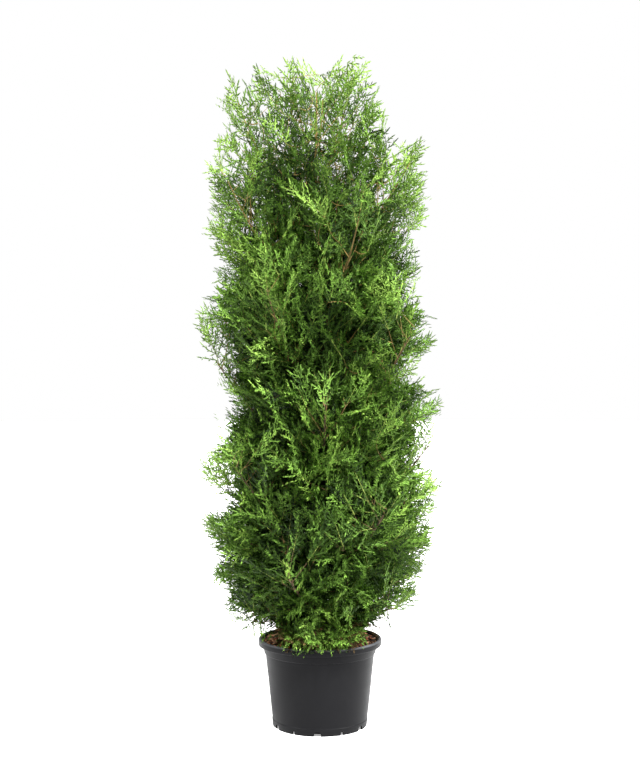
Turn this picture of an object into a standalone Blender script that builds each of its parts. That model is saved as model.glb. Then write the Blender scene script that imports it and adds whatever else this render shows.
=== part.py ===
"""A columnar arborvitae in its round nursery container.

Metres, +Z up. The origin lies under the middle of the container, on the surface it stands on.
The front of the plant faces -Y, with +X to its right.
"""

import math
import random

import bmesh
import bpy
import numpy as np
from mathutils import Matrix, Vector
from mathutils.bvhtree import BVHTree

# Driving dimensions
RIM_RADIUS = 0.160
POT_HEIGHT = 0.2245
FOOT_RADIUS = 0.122
PLANT_HEIGHT = 1.733
CROWN_FOOT = 0.2275
GAP = 0.0003

# Container
POT_SIDES = 32
WALL = 0.0028
FOOT_WALL = 0.0040
FLOOR_THICKNESS = 0.0032
DRAIN_HEIGHT = 0.0125
DRAIN_INNER_RADIUS = 0.0980
DRAIN_SLOPE = 0.0050
FLOOR_TOP = DRAIN_HEIGHT + FLOOR_THICKNESS
BAND_HEIGHT = 0.0180
BODY_TOP_RADIUS = 0.1410
BODY_TOP = 0.182
COLLAR_RADIUS = 0.1475
COLLAR_FOOT = 0.187
LIP_FOOT = 0.207
# Width at the ground, and height
LARGE_NOTCH = (0.020, 0.0110)
SMALL_NOTCH = (0.008, 0.0080)
NOTCH_COUNT = 6
NOTCH_TURN = math.radians(-93.0)
SOIL_EDGE = 0.2120
SOIL_MIDDLE = 0.2170
SOIL_GAP = 0.0004

# Trunk
TRUNK_SIDES = 8
TRUNK_RINGS = 14
TRUNK_FOOT = SOIL_MIDDLE + GAP
TRUNK_TOP = 1.640
TRUNK_RADIUS = 0.0125
TRUNK_TIP_RADIUS = 0.0022
FLARE = 0.0065
FLARE_HEIGHT = 0.018
KINK = 0.026
KINK_HEIGHT = 1.245
KINK_SPREAD = 0.085
SWAY = 0.006

# Crown outline: height, then how far the crown reaches to the left and to the right at that height
CROWN_OUTLINE = (
    (0.225, 0.165, 0.165),
    (0.300, 0.232, 0.226),
    (0.410, 0.284, 0.272),
    (0.520, 0.305, 0.300),
    (0.660, 0.310, 0.303),
    (0.840, 0.276, 0.320),
    (0.950, 0.290, 0.292),
    (1.080, 0.326, 0.305),
    (1.230, 0.292, 0.268),
    (1.440, 0.292, 0.284),
    (1.540, 0.268, 0.262),
    (1.620, 0.262, 0.172),
    (1.690, 0.200, 0.140),
    (1.733, 0.090, 0.110),
)
DEPTH_SHARE = 0.96

# Boughs and the masses that they carry
BOUGH_COUNT = 24
LOWEST_TIP = 0.262
HIGHEST_TIP = 1.560
GOLDEN_ANGLE = math.radians(137.508)
FIRST_AZIMUTH = math.radians(200.0)
MOST_RISE = 0.36
RISE_SCALE = 0.30
LIFT = 0.030
OUT_SHARE = 0.58
BOUGH_END = 0.36
STEM_END = 0.84
BOUGH_SIDES = 5
BOUGH_RINGS = 5
BOUGH_RADIUS = 0.0052
MOST_OF_TRUNK = 0.60
BOUGH_TAPER = 0.62
STEM_SIDES = 4
STEM_RINGS = 3
STEM_TAPER = 0.45

# Leading shoots at the top: name, tip, and the height where each leaves the trunk
LEADERS = (
    ("left_shoulder", (-0.232, -0.030, 1.672), 1.300),
    ("left_leader", (-0.078, 0.020, 1.731), 1.440),
    ("right_leader", (0.095, -0.012, 1.733), 1.390),
    ("front_leader", (0.010, -0.120, 1.640), 1.350),
)

# Twigs and sprays
TWIGS = 6
TWIG_PITCH = math.radians(56.0)
TWIG_LENGTH = 0.085
TWIG_SHRINK = 0.40
TWIG_RADIUS = 0.0018
TWIG_TAPER = 0.65
STEM_SPRAYS = 7
STEM_SPRAY_PITCH = math.radians(42.0)
UPTURN = 0.28
SPRAY_LENGTH = 0.200
SPRAY_WIDTH = 0.160
SPRAY_CENTRE = 0.26
SPRAY_THICKNESS = 0.0036
# One side of a blade's outline, as shares of its length and of its width
SPRAY_TEETH = ((0.44, 0.44), (0.52, 0.22), (0.81, 0.33))
SPRAY_SINK = 0.0020
SPRAY_TWIST = math.radians(90.0)
SIDE_SPRAY_TURN = math.radians(50.0)
TRIALS = 14
TRIAL_SHRINK = 0.32
LEAN = 0.80
OVERHANG = 0.015
SPACE_GAP = 0.0060
LIMB_CLEARANCE = 0.0015
SEED = 5

LEAF_GREENS = ((0.075, 0.17, 0.032), (0.10, 0.22, 0.040), (0.055, 0.13, 0.028), (0.13, 0.26, 0.045))


def clear_scene():
    for item in list(bpy.data.objects):
        bpy.data.objects.remove(item, do_unlink=True)


def material(name, colour, roughness, metallic=0.0):
    made = bpy.data.materials.new(name)
    made.use_nodes = True
    shader = made.node_tree.nodes["Principled BSDF"]
    shader.inputs["Base Color"].default_value = (*colour, 1.0)
    shader.inputs["Roughness"].default_value = roughness
    shader.inputs["Metallic"].default_value = metallic
    return made


def object_from(mesh_data, name, surface=None, smooth=True):
    """A named object that holds a bmesh's shape."""
    mesh = bpy.data.meshes.new(name)
    mesh_data.to_mesh(mesh)
    mesh_data.free()
    if smooth:
        mesh.shade_smooth()
        mesh.set_sharp_from_angle(angle=math.radians(35))
    if surface:
        mesh.materials.append(surface)
    made = bpy.data.objects.new(name, mesh)
    bpy.context.scene.collection.objects.link(made)
    return made


def turned(profile, sides):
    """A closed bmesh made by turning a profile of (radius, height) points once round the Z axis."""
    shape = bmesh.new()
    points = [shape.verts.new((radius, 0.0, height)) for radius, height in profile]
    edges = [shape.edges.new(pair) for pair in zip(points, points[1:])]
    bmesh.ops.spin(
        shape,
        geom=points + edges,
        cent=(0, 0, 0),
        axis=(0, 0, 1),
        angle=math.tau,
        steps=sides,
        use_merge=True,
    )
    bmesh.ops.remove_doubles(shape, verts=shape.verts, dist=1e-6)
    bmesh.ops.recalc_face_normals(shape, faces=shape.faces)
    return shape


# Container and soil


def inside(inset=0.0):
    """The container's inside as (radius, height) points: from its low middle over the drain channel, then up
    the wall to under the lip."""
    return (
        (0.0, FLOOR_THICKNESS + inset),
        (DRAIN_INNER_RADIUS - WALL - inset, FLOOR_THICKNESS + inset),
        (DRAIN_INNER_RADIUS - WALL + DRAIN_SLOPE - inset, FLOOR_TOP + inset),
        (FOOT_RADIUS + 0.0008 - WALL - inset, FLOOR_TOP + inset),
        (BODY_TOP_RADIUS - WALL - inset, BODY_TOP + 0.004),
        (COLLAR_RADIUS - WALL - inset, LIP_FOOT),
    )


def pot_profile():
    """Over the inside from its middle, over the lip, down the outside, and back through the drain channel to
    the flat middle of the underside."""
    return (
        *inside(),
        (RIM_RADIUS - 0.0130, POT_HEIGHT - 0.0030),
        (RIM_RADIUS - 0.0090, POT_HEIGHT),
        (RIM_RADIUS - 0.0025, POT_HEIGHT - 0.0012),
        (RIM_RADIUS, POT_HEIGHT - 0.0060),
        (RIM_RADIUS, LIP_FOOT + 0.0030),
        (RIM_RADIUS - 0.0035, LIP_FOOT),
        (COLLAR_RADIUS, LIP_FOOT - 0.0006),
        (COLLAR_RADIUS - 0.0035, COLLAR_FOOT),
        (BODY_TOP_RADIUS, BODY_TOP),
        (FOOT_RADIUS + 0.0012, BAND_HEIGHT + 0.0008),
        (FOOT_RADIUS + 0.0016, BAND_HEIGHT - 0.0008),
        (FOOT_RADIUS, 0.0),
        (FOOT_RADIUS - FOOT_WALL, 0.0),
        (FOOT_RADIUS - FOOT_WALL + 0.0004, DRAIN_HEIGHT),
        (DRAIN_INNER_RADIUS + DRAIN_SLOPE, DRAIN_HEIGHT),
        (DRAIN_INNER_RADIUS, 0.0),
        (0.0, 0.0),
    )


def notch_cutters():
    """Tapered blocks through the foot's skirt, six wide ones with a narrow one between each pair."""
    shape = bmesh.new()
    for index in range(2 * NOTCH_COUNT):
        width, height = SMALL_NOTCH if index % 2 else LARGE_NOTCH
        angle = NOTCH_TURN + index * math.pi / NOTCH_COUNT
        made = bmesh.ops.create_cube(shape, size=1.0)["verts"]
        for corner in made:
            taper = 0.72 if corner.co.z > 0 else 1.0
            corner.co.x = FOOT_RADIUS - 0.002 + 0.020 * corner.co.x
            corner.co.y *= width * taper
            corner.co.z = height if corner.co.z > 0 else -0.004
        bmesh.ops.rotate(shape, verts=made, cent=(0, 0, 0), matrix=Matrix.Rotation(angle, 3, "Z"))
    cutter = object_from(shape, "notch_cutters", smooth=False)
    cutter.hide_render = True
    cutter.display_type = "WIRE"
    return cutter


def make_pot(surface):
    pot = object_from(turned(pot_profile(), POT_SIDES), "pot", surface)
    cut = pot.modifiers.new("foot_notches", "BOOLEAN")
    cut.operation = "DIFFERENCE"
    cut.object = notch_cutters()


def make_soil(surface):
    profile = (
        *inside(SOIL_GAP),
        (COLLAR_RADIUS - WALL - SOIL_GAP, SOIL_EDGE),
        (0.55 * RIM_RADIUS, SOIL_EDGE + 0.7 * (SOIL_MIDDLE - SOIL_EDGE)),
        (0.26 * RIM_RADIUS, SOIL_MIDDLE),
        (0.0, SOIL_MIDDLE),
    )
    object_from(turned(profile[::-1], POT_SIDES), "soil", surface)


# Limbs


def trunk_heights():
    """The heights of the trunk's rings, which are closer together in its flare."""
    flare = [TRUNK_FOOT, TRUNK_FOOT + 0.012, TRUNK_FOOT + 0.035]
    first = TRUNK_FOOT + 0.080
    return flare + [first + (TRUNK_TOP - first) * step / (TRUNK_RINGS - 1) for step in range(TRUNK_RINGS)]


def trunk_curve(height):
    """The trunk's lean: a light sway, and one kink where it once lost its leader."""
    share = (height - TRUNK_FOOT) / (TRUNK_TOP - TRUNK_FOOT)
    kink = KINK * math.exp(-(((height - KINK_HEIGHT) / KINK_SPREAD) ** 2))
    x = SWAY * math.sin(math.tau * share) - kink - 0.008 * share
    return x, SWAY * math.sin(1.4 * math.pi * share)


def trunk_centre(height):
    """The trunk's axis, straight from ring to ring."""
    heights = trunk_heights()
    sways = [trunk_curve(ring) for ring in heights]
    return Vector([float(np.interp(height, heights, side)) for side in zip(*sways)] + [height])


def trunk_radius(height):
    share = (height - TRUNK_FOOT) / (TRUNK_TOP - TRUNK_FOOT)
    taper = TRUNK_TIP_RADIUS + (TRUNK_RADIUS - TRUNK_TIP_RADIUS) * (1 - share) ** 0.85
    return taper + FLARE * math.exp(-(height - TRUNK_FOOT) / FLARE_HEIGHT)


def across(direction):
    """Two unit vectors square to a direction and to each other."""
    first = direction.cross(Vector((0, 0, 1)))
    if first.length < 1e-3:
        first = Vector((1, 0, 0))
    first.normalize()
    return first, direction.cross(first).normalized()


def tube(centres, radii, sides, level_ends=False):
    """A closed tapering bmesh tube through some centres. Its end rings are level where level_ends is set."""
    shape = bmesh.new()
    rings = []
    for index, (centre, radius) in enumerate(zip(centres, radii)):
        before = centres[max(index - 1, 0)]
        after = centres[min(index + 1, len(centres) - 1)]
        along = (after - before).normalized()
        if level_ends and index in (0, len(centres) - 1):
            along = Vector((0, 0, 1))
        if rings:
            first = (side - along * side.dot(along)).normalized()
        else:
            first = across(along)[0]
        second = along.cross(first)
        side = first
        ring = []
        for step in range(sides):
            angle = math.tau * step / sides
            offset = first * math.cos(angle) + second * math.sin(angle)
            ring.append(shape.verts.new(centre + radius * offset))
        rings.append(ring)
    shape.faces.new(rings[0][::-1])
    shape.faces.new(rings[-1])
    for low, high in zip(rings, rings[1:]):
        for step in range(sides):
            after = (step + 1) % sides
            shape.faces.new((low[step], low[after], high[after], high[step]))
    bmesh.ops.recalc_face_normals(shape, faces=shape.faces)
    return shape


def trunk_shape(extra=0.0):
    heights = trunk_heights()
    centres = [trunk_centre(height) for height in heights]
    return tube(centres, [trunk_radius(height) + extra for height in heights], TRUNK_SIDES, True)


def outline_reach(height, azimuth):
    """How far the crown reaches from its axis at a height, in one direction."""
    heights, lefts, rights = zip(*CROWN_OUTLINE)
    left = np.interp(height, heights, lefts)
    right = np.interp(height, heights, rights)
    side = np.cos(azimuth)
    depth = DEPTH_SHARE * 0.5 * (left + right)
    return np.where(side > 0, right, left) * side**2 + depth * np.sin(azimuth) ** 2


def curve_point(path, share):
    """A point on the curve through a path's start, bend and tip."""
    start, bend, tip = path
    return start * (1 - share) ** 2 + bend * 2 * share * (1 - share) + tip * share**2


def curve_direction(path, share):
    start, bend, tip = path
    return ((bend - start) * (1 - share) + (tip - bend) * share).normalized()


def bough_path(index):
    """Start on the trunk's axis, bend and tip of one side limb, which leaves level and then turns upwards."""
    share = index / (BOUGH_COUNT - 1)
    height = LOWEST_TIP + (HIGHEST_TIP - LOWEST_TIP) * share
    azimuth = FIRST_AZIMUTH + index * GOLDEN_ANGLE
    reach = float(outline_reach(height, azimuth))
    rise = MOST_RISE * (1 - math.exp(-(height - LOWEST_TIP) / RISE_SCALE))
    outward = Vector((math.cos(azimuth), math.sin(azimuth), 0))
    start = trunk_centre(max(height - rise, CROWN_FOOT + 0.020))
    tip = outward * reach + Vector((0, 0, height))
    bend = start + outward * reach * OUT_SHARE + Vector((0, 0, LIFT + 0.22 * rise))
    return start, bend, tip


def leader_path(tip, leaves_at):
    """Start, bend and tip of a shoot that rises beside the trunk's top."""
    start = trunk_centre(leaves_at)
    end = Vector(tip)
    out = Vector((end.x - start.x, end.y - start.y, 0))
    bend = start + out * 0.66 + Vector((0, 0, 0.36 * (end.z - start.z)))
    return start, bend, end


def crown_plan():
    """The path of every limb by name: first the side limbs from the lowest up, then the leaders."""
    plan = {}
    for index in range(BOUGH_COUNT):
        plan[f"{index + 1:02d}"] = bough_path(index)
    for name, tip, leaves_at in LEADERS:
        plan[name] = leader_path(tip, leaves_at)
    return plan


def limb_radius(path, share):
    """The radius of a bough, and of the stem that goes on from it, at a share of its path."""
    base = min(BOUGH_RADIUS, MOST_OF_TRUNK * trunk_radius(path[0].z))
    if share < BOUGH_END:
        return base * (1 + (BOUGH_TAPER - 1) * share / BOUGH_END)
    span = min((share - BOUGH_END) / (STEM_END - BOUGH_END), 1.0)
    return base * BOUGH_TAPER * (1 + (STEM_TAPER - 1) * span)


def bough_shape(path, extra=0.0):
    shares = [BOUGH_END * step / (BOUGH_RINGS - 1) for step in range(BOUGH_RINGS)]
    centres = [curve_point(path, share) for share in shares]
    return tube(centres, [limb_radius(path, share) + extra for share in shares], BOUGH_SIDES)


def make_bough(name, path, surface, trunk_cutter):
    """One tapering limb, from the trunk's bark to where its mass of foliage starts."""
    bough = object_from(bough_shape(path), name, surface)
    cut = bough.modifiers.new("seat_on_trunk", "BOOLEAN")
    cut.operation = "DIFFERENCE"
    cut.object = trunk_cutter
    return bough


def limb_tree(plan):
    """A search tree of the trunk and all boughs, each a little thickened, that foliage keeps clear of."""
    limbs = trunk_shape(LIMB_CLEARANCE)
    for path in plan.values():
        bough = bough_shape(path, LIMB_CLEARANCE)
        mesh = bpy.data.meshes.new("limb")
        bough.to_mesh(mesh)
        bough.free()
        limbs.from_mesh(mesh)
        bpy.data.meshes.remove(mesh)
    tree = BVHTree.FromBMesh(limbs)
    limbs.free()
    return tree


# Foliage


def path_samples(path, first, last, count=14):
    return np.array([curve_point(path, first + (last - first) * n / (count - 1)) for n in range(count)])


def distances(points, line):
    """The distance from each point to a line of joined segments."""
    starts, ends = line[:-1], line[1:]
    along = ends - starts
    lengths = (along**2).sum(axis=1)
    offset = points[:, None, :] - starts[None, :, :]
    share = np.clip((offset * along).sum(axis=2) / lengths, 0, 1)
    nearest = starts[None, :, :] + share[..., None] * along[None, :, :]
    return np.linalg.norm(points[:, None, :] - nearest, axis=2).min(axis=1)


class Space:
    """What one mass may fill: all that lies nearer to its own stem than to another's, inside the crown's
    outline, and clear of the trunk and the boughs."""

    def __init__(self, name, plan, limbs):
        self.own = path_samples(plan[name], BOUGH_END, 1.0)
        self.others = [path_samples(path, BOUGH_END, 1.0) for key, path in plan.items() if key != name]
        self.limbs = limbs
        self.taken = []

    def take(self, shape):
        """Keeps the sprays that follow from crossing this shape."""
        self.taken.append(BVHTree.FromBMesh(shape))

    def holds(self, shape):
        points = surface_points(shape)
        heights = points[:, 2]
        if heights.min() < CROWN_FOOT or heights.max() > PLANT_HEIGHT:
            return False
        reach = outline_reach(heights, np.arctan2(points[:, 1], points[:, 0]))
        if (np.hypot(points[:, 0], points[:, 1]) - reach).max() > OVERHANG:
            return False
        own = distances(points, self.own)
        for stem in self.others:
            if (distances(points, stem) - own).min() < SPACE_GAP:
                return False
        tree = BVHTree.FromBMesh(shape)
        return not any(other.overlap(tree) for other in [self.limbs, *self.taken])


def surface_points(shape):
    """Points spread over a bmesh: its corners, and the middles of its edges and faces."""
    points = [tuple(corner.co) for corner in shape.verts]
    points += [tuple((edge.verts[0].co + edge.verts[1].co) / 2) for edge in shape.edges]
    points += [tuple(face.calc_center_median()) for face in shape.faces]
    return np.array(points)


def blade(root, along, across_blade, size):
    """A thin toothed blade that stands for a spray: an outline with a raised middle on both faces."""
    shape = bmesh.new()
    length = SPRAY_LENGTH * size
    width = SPRAY_WIDTH * size
    normal = along.cross(across_blade).normalized()
    outline = [(0.0, 0.0), *SPRAY_TEETH, (1.0, 0.0)]
    outline += [(share, -side) for share, side in reversed(SPRAY_TEETH)]
    rim = [
        shape.verts.new(root + along * share * length + across_blade * side * width)
        for share, side in outline
    ]
    middle = root + along * length * SPRAY_CENTRE
    for side in (1, -1):
        peak = shape.verts.new(middle + normal * side * SPRAY_THICKNESS / 2)
        for index, corner in enumerate(rim):
            shape.faces.new((corner, rim[(index + 1) % len(rim)], peak))
    bmesh.ops.recalc_face_normals(shape, faces=shape.faces)
    return shape


def turned_from(along, roll, pitch):
    """A direction that leaves another at a pitch, turned round it by a roll, and bent a little upwards."""
    first, second = across(along)
    side = first * math.cos(roll) + second * math.sin(roll)
    out = along * math.cos(pitch) + side * math.sin(pitch)
    return (out + Vector((0, 0, UPTURN))).normalized()


def fitted_spray(root, along, size, space, draw):
    """A blade that starts on a limb's axis. Several leans and twists are tried, each a little smaller, and it
    stays out where none keeps to the mass's space."""
    first, second = across(along)
    for trial in range(TRIALS):
        lean = LEAN * trial / TRIALS
        aim = along + first * draw.uniform(-lean, lean) + second * draw.uniform(-lean, lean)
        aim.normalize()
        twist = draw.uniform(-SPRAY_TWIST, SPRAY_TWIST)
        side, other = across(aim)
        flat = side * math.cos(twist) + other * math.sin(twist)
        made = blade(root - aim * SPRAY_SINK, aim, flat, size * (1.0 - TRIAL_SHRINK * trial / TRIALS))
        if space.holds(made):
            space.take(made)
            return [made]
        made.free()
    return []


def twig_shapes(path, share, roll, size, space, draw):
    """One twig with a spray at its tip and one at its side. It stays out where neither fits."""
    root = curve_point(path, share)
    along = turned_from(curve_direction(path, share), roll, TWIG_PITCH * draw.uniform(0.85, 1.15))
    length = TWIG_LENGTH * size
    radius = min(TWIG_RADIUS, 0.9 * limb_radius(path, share))
    twig = tube([root, root + along * length], [radius, TWIG_TAPER * radius], 3)
    shapes = []
    if space.holds(twig):
        shapes += fitted_spray(root + along * (length - 0.012), along, size, space, draw)
        sideways = turned_from(along, roll + math.pi / 2, SIDE_SPRAY_TURN)
        shapes += fitted_spray(root + along * length * 0.5, sideways, size * 0.9, space, draw)
    if shapes:
        space.take(twig)
        return [twig, *shapes]
    twig.free()
    return []


def mass_shapes(path, space, draw):
    """All that fuses to one mass's stem: its twigs, the sprays on them and the sprays on the stem itself."""
    root = curve_point(path, STEM_END - 0.03)
    along = path[2] - root
    shapes = fitted_spray(root, along.normalized(), along.length / SPRAY_LENGTH, space, draw)
    roll = draw.uniform(0, math.tau)
    span = STEM_END - BOUGH_END
    for index in range(TWIGS):
        step = index / (TWIGS - 1)
        size = (1.0 - TWIG_SHRINK * step) * draw.uniform(0.92, 1.08)
        shapes += twig_shapes(path, BOUGH_END + span * (0.12 + 0.76 * step), roll, size, space, draw)
        roll += GOLDEN_ANGLE
    for index in range(STEM_SPRAYS):
        share = BOUGH_END + span * (0.20 + 0.74 * index / (STEM_SPRAYS - 1))
        along = turned_from(curve_direction(path, share), roll, STEM_SPRAY_PITCH)
        shapes += fitted_spray(curve_point(path, share), along, draw.uniform(0.85, 1.05), space, draw)
        roll += GOLDEN_ANGLE
    return shapes


def largest_piece(mesh_data):
    """Drops every loose scrap and sealed hollow from a bmesh, and keeps its largest piece."""
    left = set(mesh_data.verts)
    pieces = []
    while left:
        piece = set()
        reach = [next(iter(left))]
        while reach:
            corner = reach.pop()
            if corner in piece:
                continue
            piece.add(corner)
            reach += [edge.other_vert(corner) for edge in corner.link_edges]
        left -= piece
        pieces.append(piece)
    largest = max(pieces, key=len)
    scraps = [corner for piece in pieces if piece is not largest for corner in piece]
    bmesh.ops.delete(mesh_data, geom=scraps, context="VERTS")


def fuse(stem, shapes, name):
    """Joins the shapes to the stem in one Boolean union, which is applied."""
    group = bpy.data.collections.new(name + "_pieces")
    bpy.context.scene.collection.children.link(group)
    for index, shape in enumerate(shapes):
        piece = object_from(shape, f"{name}_piece_{index}", smooth=False)
        bpy.context.scene.collection.objects.unlink(piece)
        group.objects.link(piece)
    union = stem.modifiers.new("fuse", "BOOLEAN")
    union.operation = "UNION"
    union.operand_type = "COLLECTION"
    union.collection = group
    union.solver = "MANIFOLD"
    graph = bpy.context.evaluated_depsgraph_get()
    fused = bmesh.new()
    fused.from_mesh(bpy.data.meshes.new_from_object(stem.evaluated_get(graph)))
    stem.modifiers.clear()
    for piece in list(group.objects):
        bpy.data.objects.remove(piece, do_unlink=True)
    bpy.data.collections.remove(group)
    largest_piece(fused)
    fused.to_mesh(stem.data)
    fused.free()


def make_mass(name, key, plan, limbs, surface):
    """One mass of foliage: a stem that goes on from its bough, with twigs and sprays fused to it."""
    path = plan[key]
    draw = random.Random(f"{SEED}-{key}")
    shares = [BOUGH_END + (STEM_END - BOUGH_END) * step / (STEM_RINGS - 1) for step in range(STEM_RINGS)]
    centres = [curve_point(path, share) for share in shares]
    centres[0] = centres[0] + curve_direction(path, BOUGH_END) * GAP
    shape = tube(centres, [limb_radius(path, share) for share in shares], STEM_SIDES)
    stem = object_from(shape, name, surface, smooth=False)
    fuse(stem, mass_shapes(path, Space(key, plan, limbs), draw), name)


def main():
    clear_scene()
    plastic = material("pot_plastic", (0.040, 0.040, 0.043), 0.42)
    earth = material("bark_mulch", (0.10, 0.045, 0.022), 0.95)
    bark = material("bark", (0.16, 0.085, 0.045), 0.85)
    greens = [material(f"foliage_{n}", colour, 0.6) for n, colour in enumerate(LEAF_GREENS)]
    make_pot(plastic)
    make_soil(earth)
    object_from(trunk_shape(), "trunk", bark)
    cutter = object_from(trunk_shape(1.15 * GAP), "trunk_cutter", smooth=False)
    cutter.hide_render = True
    cutter.display_type = "WIRE"
    plan = crown_plan()
    limbs = limb_tree(plan)
    for number, key in enumerate(plan):
        make_bough(f"bough_{key}", plan[key], bark, cutter)
        make_mass(f"foliage_{key}", key, plan, limbs, greens[number % len(greens)])


main()
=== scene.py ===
"""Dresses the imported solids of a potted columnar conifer: its pot, mulch, bark, twigs and scale-leaf sprays.

Metres, +Z up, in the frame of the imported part. The front of the plant faces -Y.
"""

import math
import random

import bmesh
import bpy
import numpy as np
from bpy.props import FloatProperty, FloatVectorProperty, IntProperty, PointerProperty
from mathutils import Matrix, Vector, noise


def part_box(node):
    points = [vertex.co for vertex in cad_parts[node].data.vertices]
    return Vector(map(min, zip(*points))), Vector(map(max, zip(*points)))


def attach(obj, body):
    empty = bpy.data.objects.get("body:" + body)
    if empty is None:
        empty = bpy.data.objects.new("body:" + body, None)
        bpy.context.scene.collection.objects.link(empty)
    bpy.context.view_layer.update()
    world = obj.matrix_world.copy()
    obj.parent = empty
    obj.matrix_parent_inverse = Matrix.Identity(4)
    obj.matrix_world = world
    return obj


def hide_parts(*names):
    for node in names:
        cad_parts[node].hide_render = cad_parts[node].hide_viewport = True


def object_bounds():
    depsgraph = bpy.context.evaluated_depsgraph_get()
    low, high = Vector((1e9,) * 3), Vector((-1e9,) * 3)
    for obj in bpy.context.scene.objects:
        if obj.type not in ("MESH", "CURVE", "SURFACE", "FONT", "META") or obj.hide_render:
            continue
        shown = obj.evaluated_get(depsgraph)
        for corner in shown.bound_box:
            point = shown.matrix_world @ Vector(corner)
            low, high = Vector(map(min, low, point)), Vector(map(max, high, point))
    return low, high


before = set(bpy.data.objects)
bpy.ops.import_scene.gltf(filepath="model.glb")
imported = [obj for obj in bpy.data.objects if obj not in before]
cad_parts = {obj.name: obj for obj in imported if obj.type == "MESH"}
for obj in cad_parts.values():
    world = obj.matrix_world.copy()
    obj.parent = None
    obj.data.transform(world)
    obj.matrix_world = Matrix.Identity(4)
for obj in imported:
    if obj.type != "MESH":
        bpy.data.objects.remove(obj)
CAD_LOW, CAD_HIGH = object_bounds()
POT_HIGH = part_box("pot")[1]
SOIL_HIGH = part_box("soil")[1]
TRUNK_LOW, TRUNK_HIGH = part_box("trunk")

bl_info = {
    "name": "Potted columnar conifer",
    "version": (1, 0, 0),
    "blender": (4, 5, 0),
    "location": "3D View > Sidebar > Conifer",
    "description": "Builds the visible pot, mulch, bark, twigs and sprays round the packed solids",
    "category": "Add Mesh",
}

BODY = "root"
FOLIAGE_NODES = sorted(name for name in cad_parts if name.startswith("foliage_"))
BOUGH_NODES = sorted(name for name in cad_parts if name.startswith("bough_"))
UP = np.array([0.0, 0.0, 1.0])
GOLDEN_ANGLE = math.radians(137.508)
SEED = 5

# The photograph's frame in pixels
IMAGE_HEIGHT_PX = 780
FOCAL_LENGTH_PX = 1180

# Share of the surround's white that lights the plant, what the floor and the backdrop add to it, and the
# floor's own glow
AMBIENT = 0.14
FLOOR_GLOW = 0.30
BACK_GLOW = 0.55
FLOOR_EMISSION = 0.38

# Broad lights: where each shines from, its spread in degrees and its strength
SUNS = {
    "key": ((0.15, -0.55, 1.00), 6.0, 6.7),
    "right": ((0.85, -0.45, 0.50), 30.0, 4.4),
    "left": ((-0.85, -0.45, 0.50), 30.0, 2.3),
    "top": ((-0.30, 0.50, 1.00), 30.0, 2.0),
}

# Pot: radii, heights and walls, and the painted highlight, a pale grey band, that starts a little below the
# top of its lip
RIM_RADIUS = POT_HIGH.x
RIM_TOP = POT_HIGH.z
LIP_FOOT = 0.207
COLLAR_RADIUS = 0.1475
COLLAR_FOOT = 0.187
BODY_TOP = 0.182
BODY_TOP_RADIUS = 0.1410
BAND_HEIGHT = 0.018
FOOT_RADIUS = 0.122
FOOT_WALL = 0.004
WALL = 0.0028
FLOOR_THICKNESS = 0.0032
DRAIN_HEIGHT = 0.0125
DRAIN_INNER_RADIUS = 0.098
DRAIN_SLOPE = 0.005
POT_STEPS = 96
POT_SHARP_ANGLE = 32
LIP_HIGHLIGHT = (0.130, 0.135, 0.145)
LIP_HIGHLIGHT_DEPTH = 0.0052
LIP_HIGHLIGHT_BLEND = 0.0030

# Notches in the pot's foot: the width and height of both kinds, how many of each and where the first is,
# and the tapered blocks that cut them
LARGE_NOTCH = (0.020, 0.0110)
SMALL_NOTCH = (0.008, 0.0080)
NOTCH_COUNT = 6
NOTCH_TURN = math.radians(-93.0)
NOTCH_TAPER = 0.72
CUTTER_DEPTH = 0.020
CUTTER_INSET = 0.002
CUTTER_BELOW = 0.004

# Mulch, a little higher in its middle, with coarse and fine lumps
MULCH_RADIUS = 0.1495
MULCH_EDGE = 0.2185
MULCH_MIDDLE = SOIL_HIGH.z
MULCH_DIP = 0.0015
MULCH_DEPTH = 0.012
MULCH_TAPER = 0.006
MULCH_RINGS = 30
MULCH_SHARP_ANGLE = 50
MULCH_RELIEF = 0.0022
LUMP_PITCH = 70
FINE_LUMP_PITCH = 190
MULCH_COLOUR = (0.050, 0.026, 0.014)
# The red and pale chips are lighter than the bark's own colour: painted light where the crown shades them
CHIP_COLOURS = {
    "red": (0.420, 0.135, 0.050),
    "pale": (0.500, 0.270, 0.145),
    "dark": (0.075, 0.038, 0.022),
}
CHIP_FACES = np.array(
    [
        (0, 1, 3), (0, 3, 2), (4, 6, 7), (4, 7, 5), (0, 4, 5), (0, 5, 1),
        (2, 3, 7), (2, 7, 6), (0, 2, 6), (0, 6, 4), (1, 5, 7), (1, 7, 3),
    ]
)  # fmt: skip

# Trunk, as in the solids
TRUNK_FOOT = TRUNK_LOW.z
TRUNK_TOP = TRUNK_HIGH.z
FLARE_RINGS = (0.0, 0.012, 0.035)
FIRST_RING = 0.080
TRUNK_RINGS = 14
TRUNK_RADIUS = 0.0125
TRUNK_TIP_RADIUS = 0.0022
TRUNK_TAPER = 0.85
FLARE = 0.0065
FLARE_HEIGHT = 0.018
KINK = 0.026
KINK_HEIGHT = 1.245
KINK_SPREAD = 0.085
SWAY = 0.006
LEAN = 0.008

# Crown outline, as in the solids: height, then how far it reaches to the left and to the right there, and
# its depth as a share of its width
CROWN_FOOT = 0.2275
CROWN_OUTLINE = (
    (0.225, 0.165, 0.165), (0.300, 0.232, 0.226), (0.410, 0.284, 0.272), (0.520, 0.305, 0.300),
    (0.660, 0.310, 0.303), (0.840, 0.276, 0.320), (0.950, 0.290, 0.292), (1.080, 0.326, 0.305),
    (1.230, 0.292, 0.268), (1.440, 0.292, 0.284), (1.540, 0.268, 0.262), (1.620, 0.262, 0.172),
    (1.690, 0.200, 0.140), (1.733, 0.090, 0.110),
)  # fmt: skip
DEPTH_SHARE = 0.96

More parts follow.
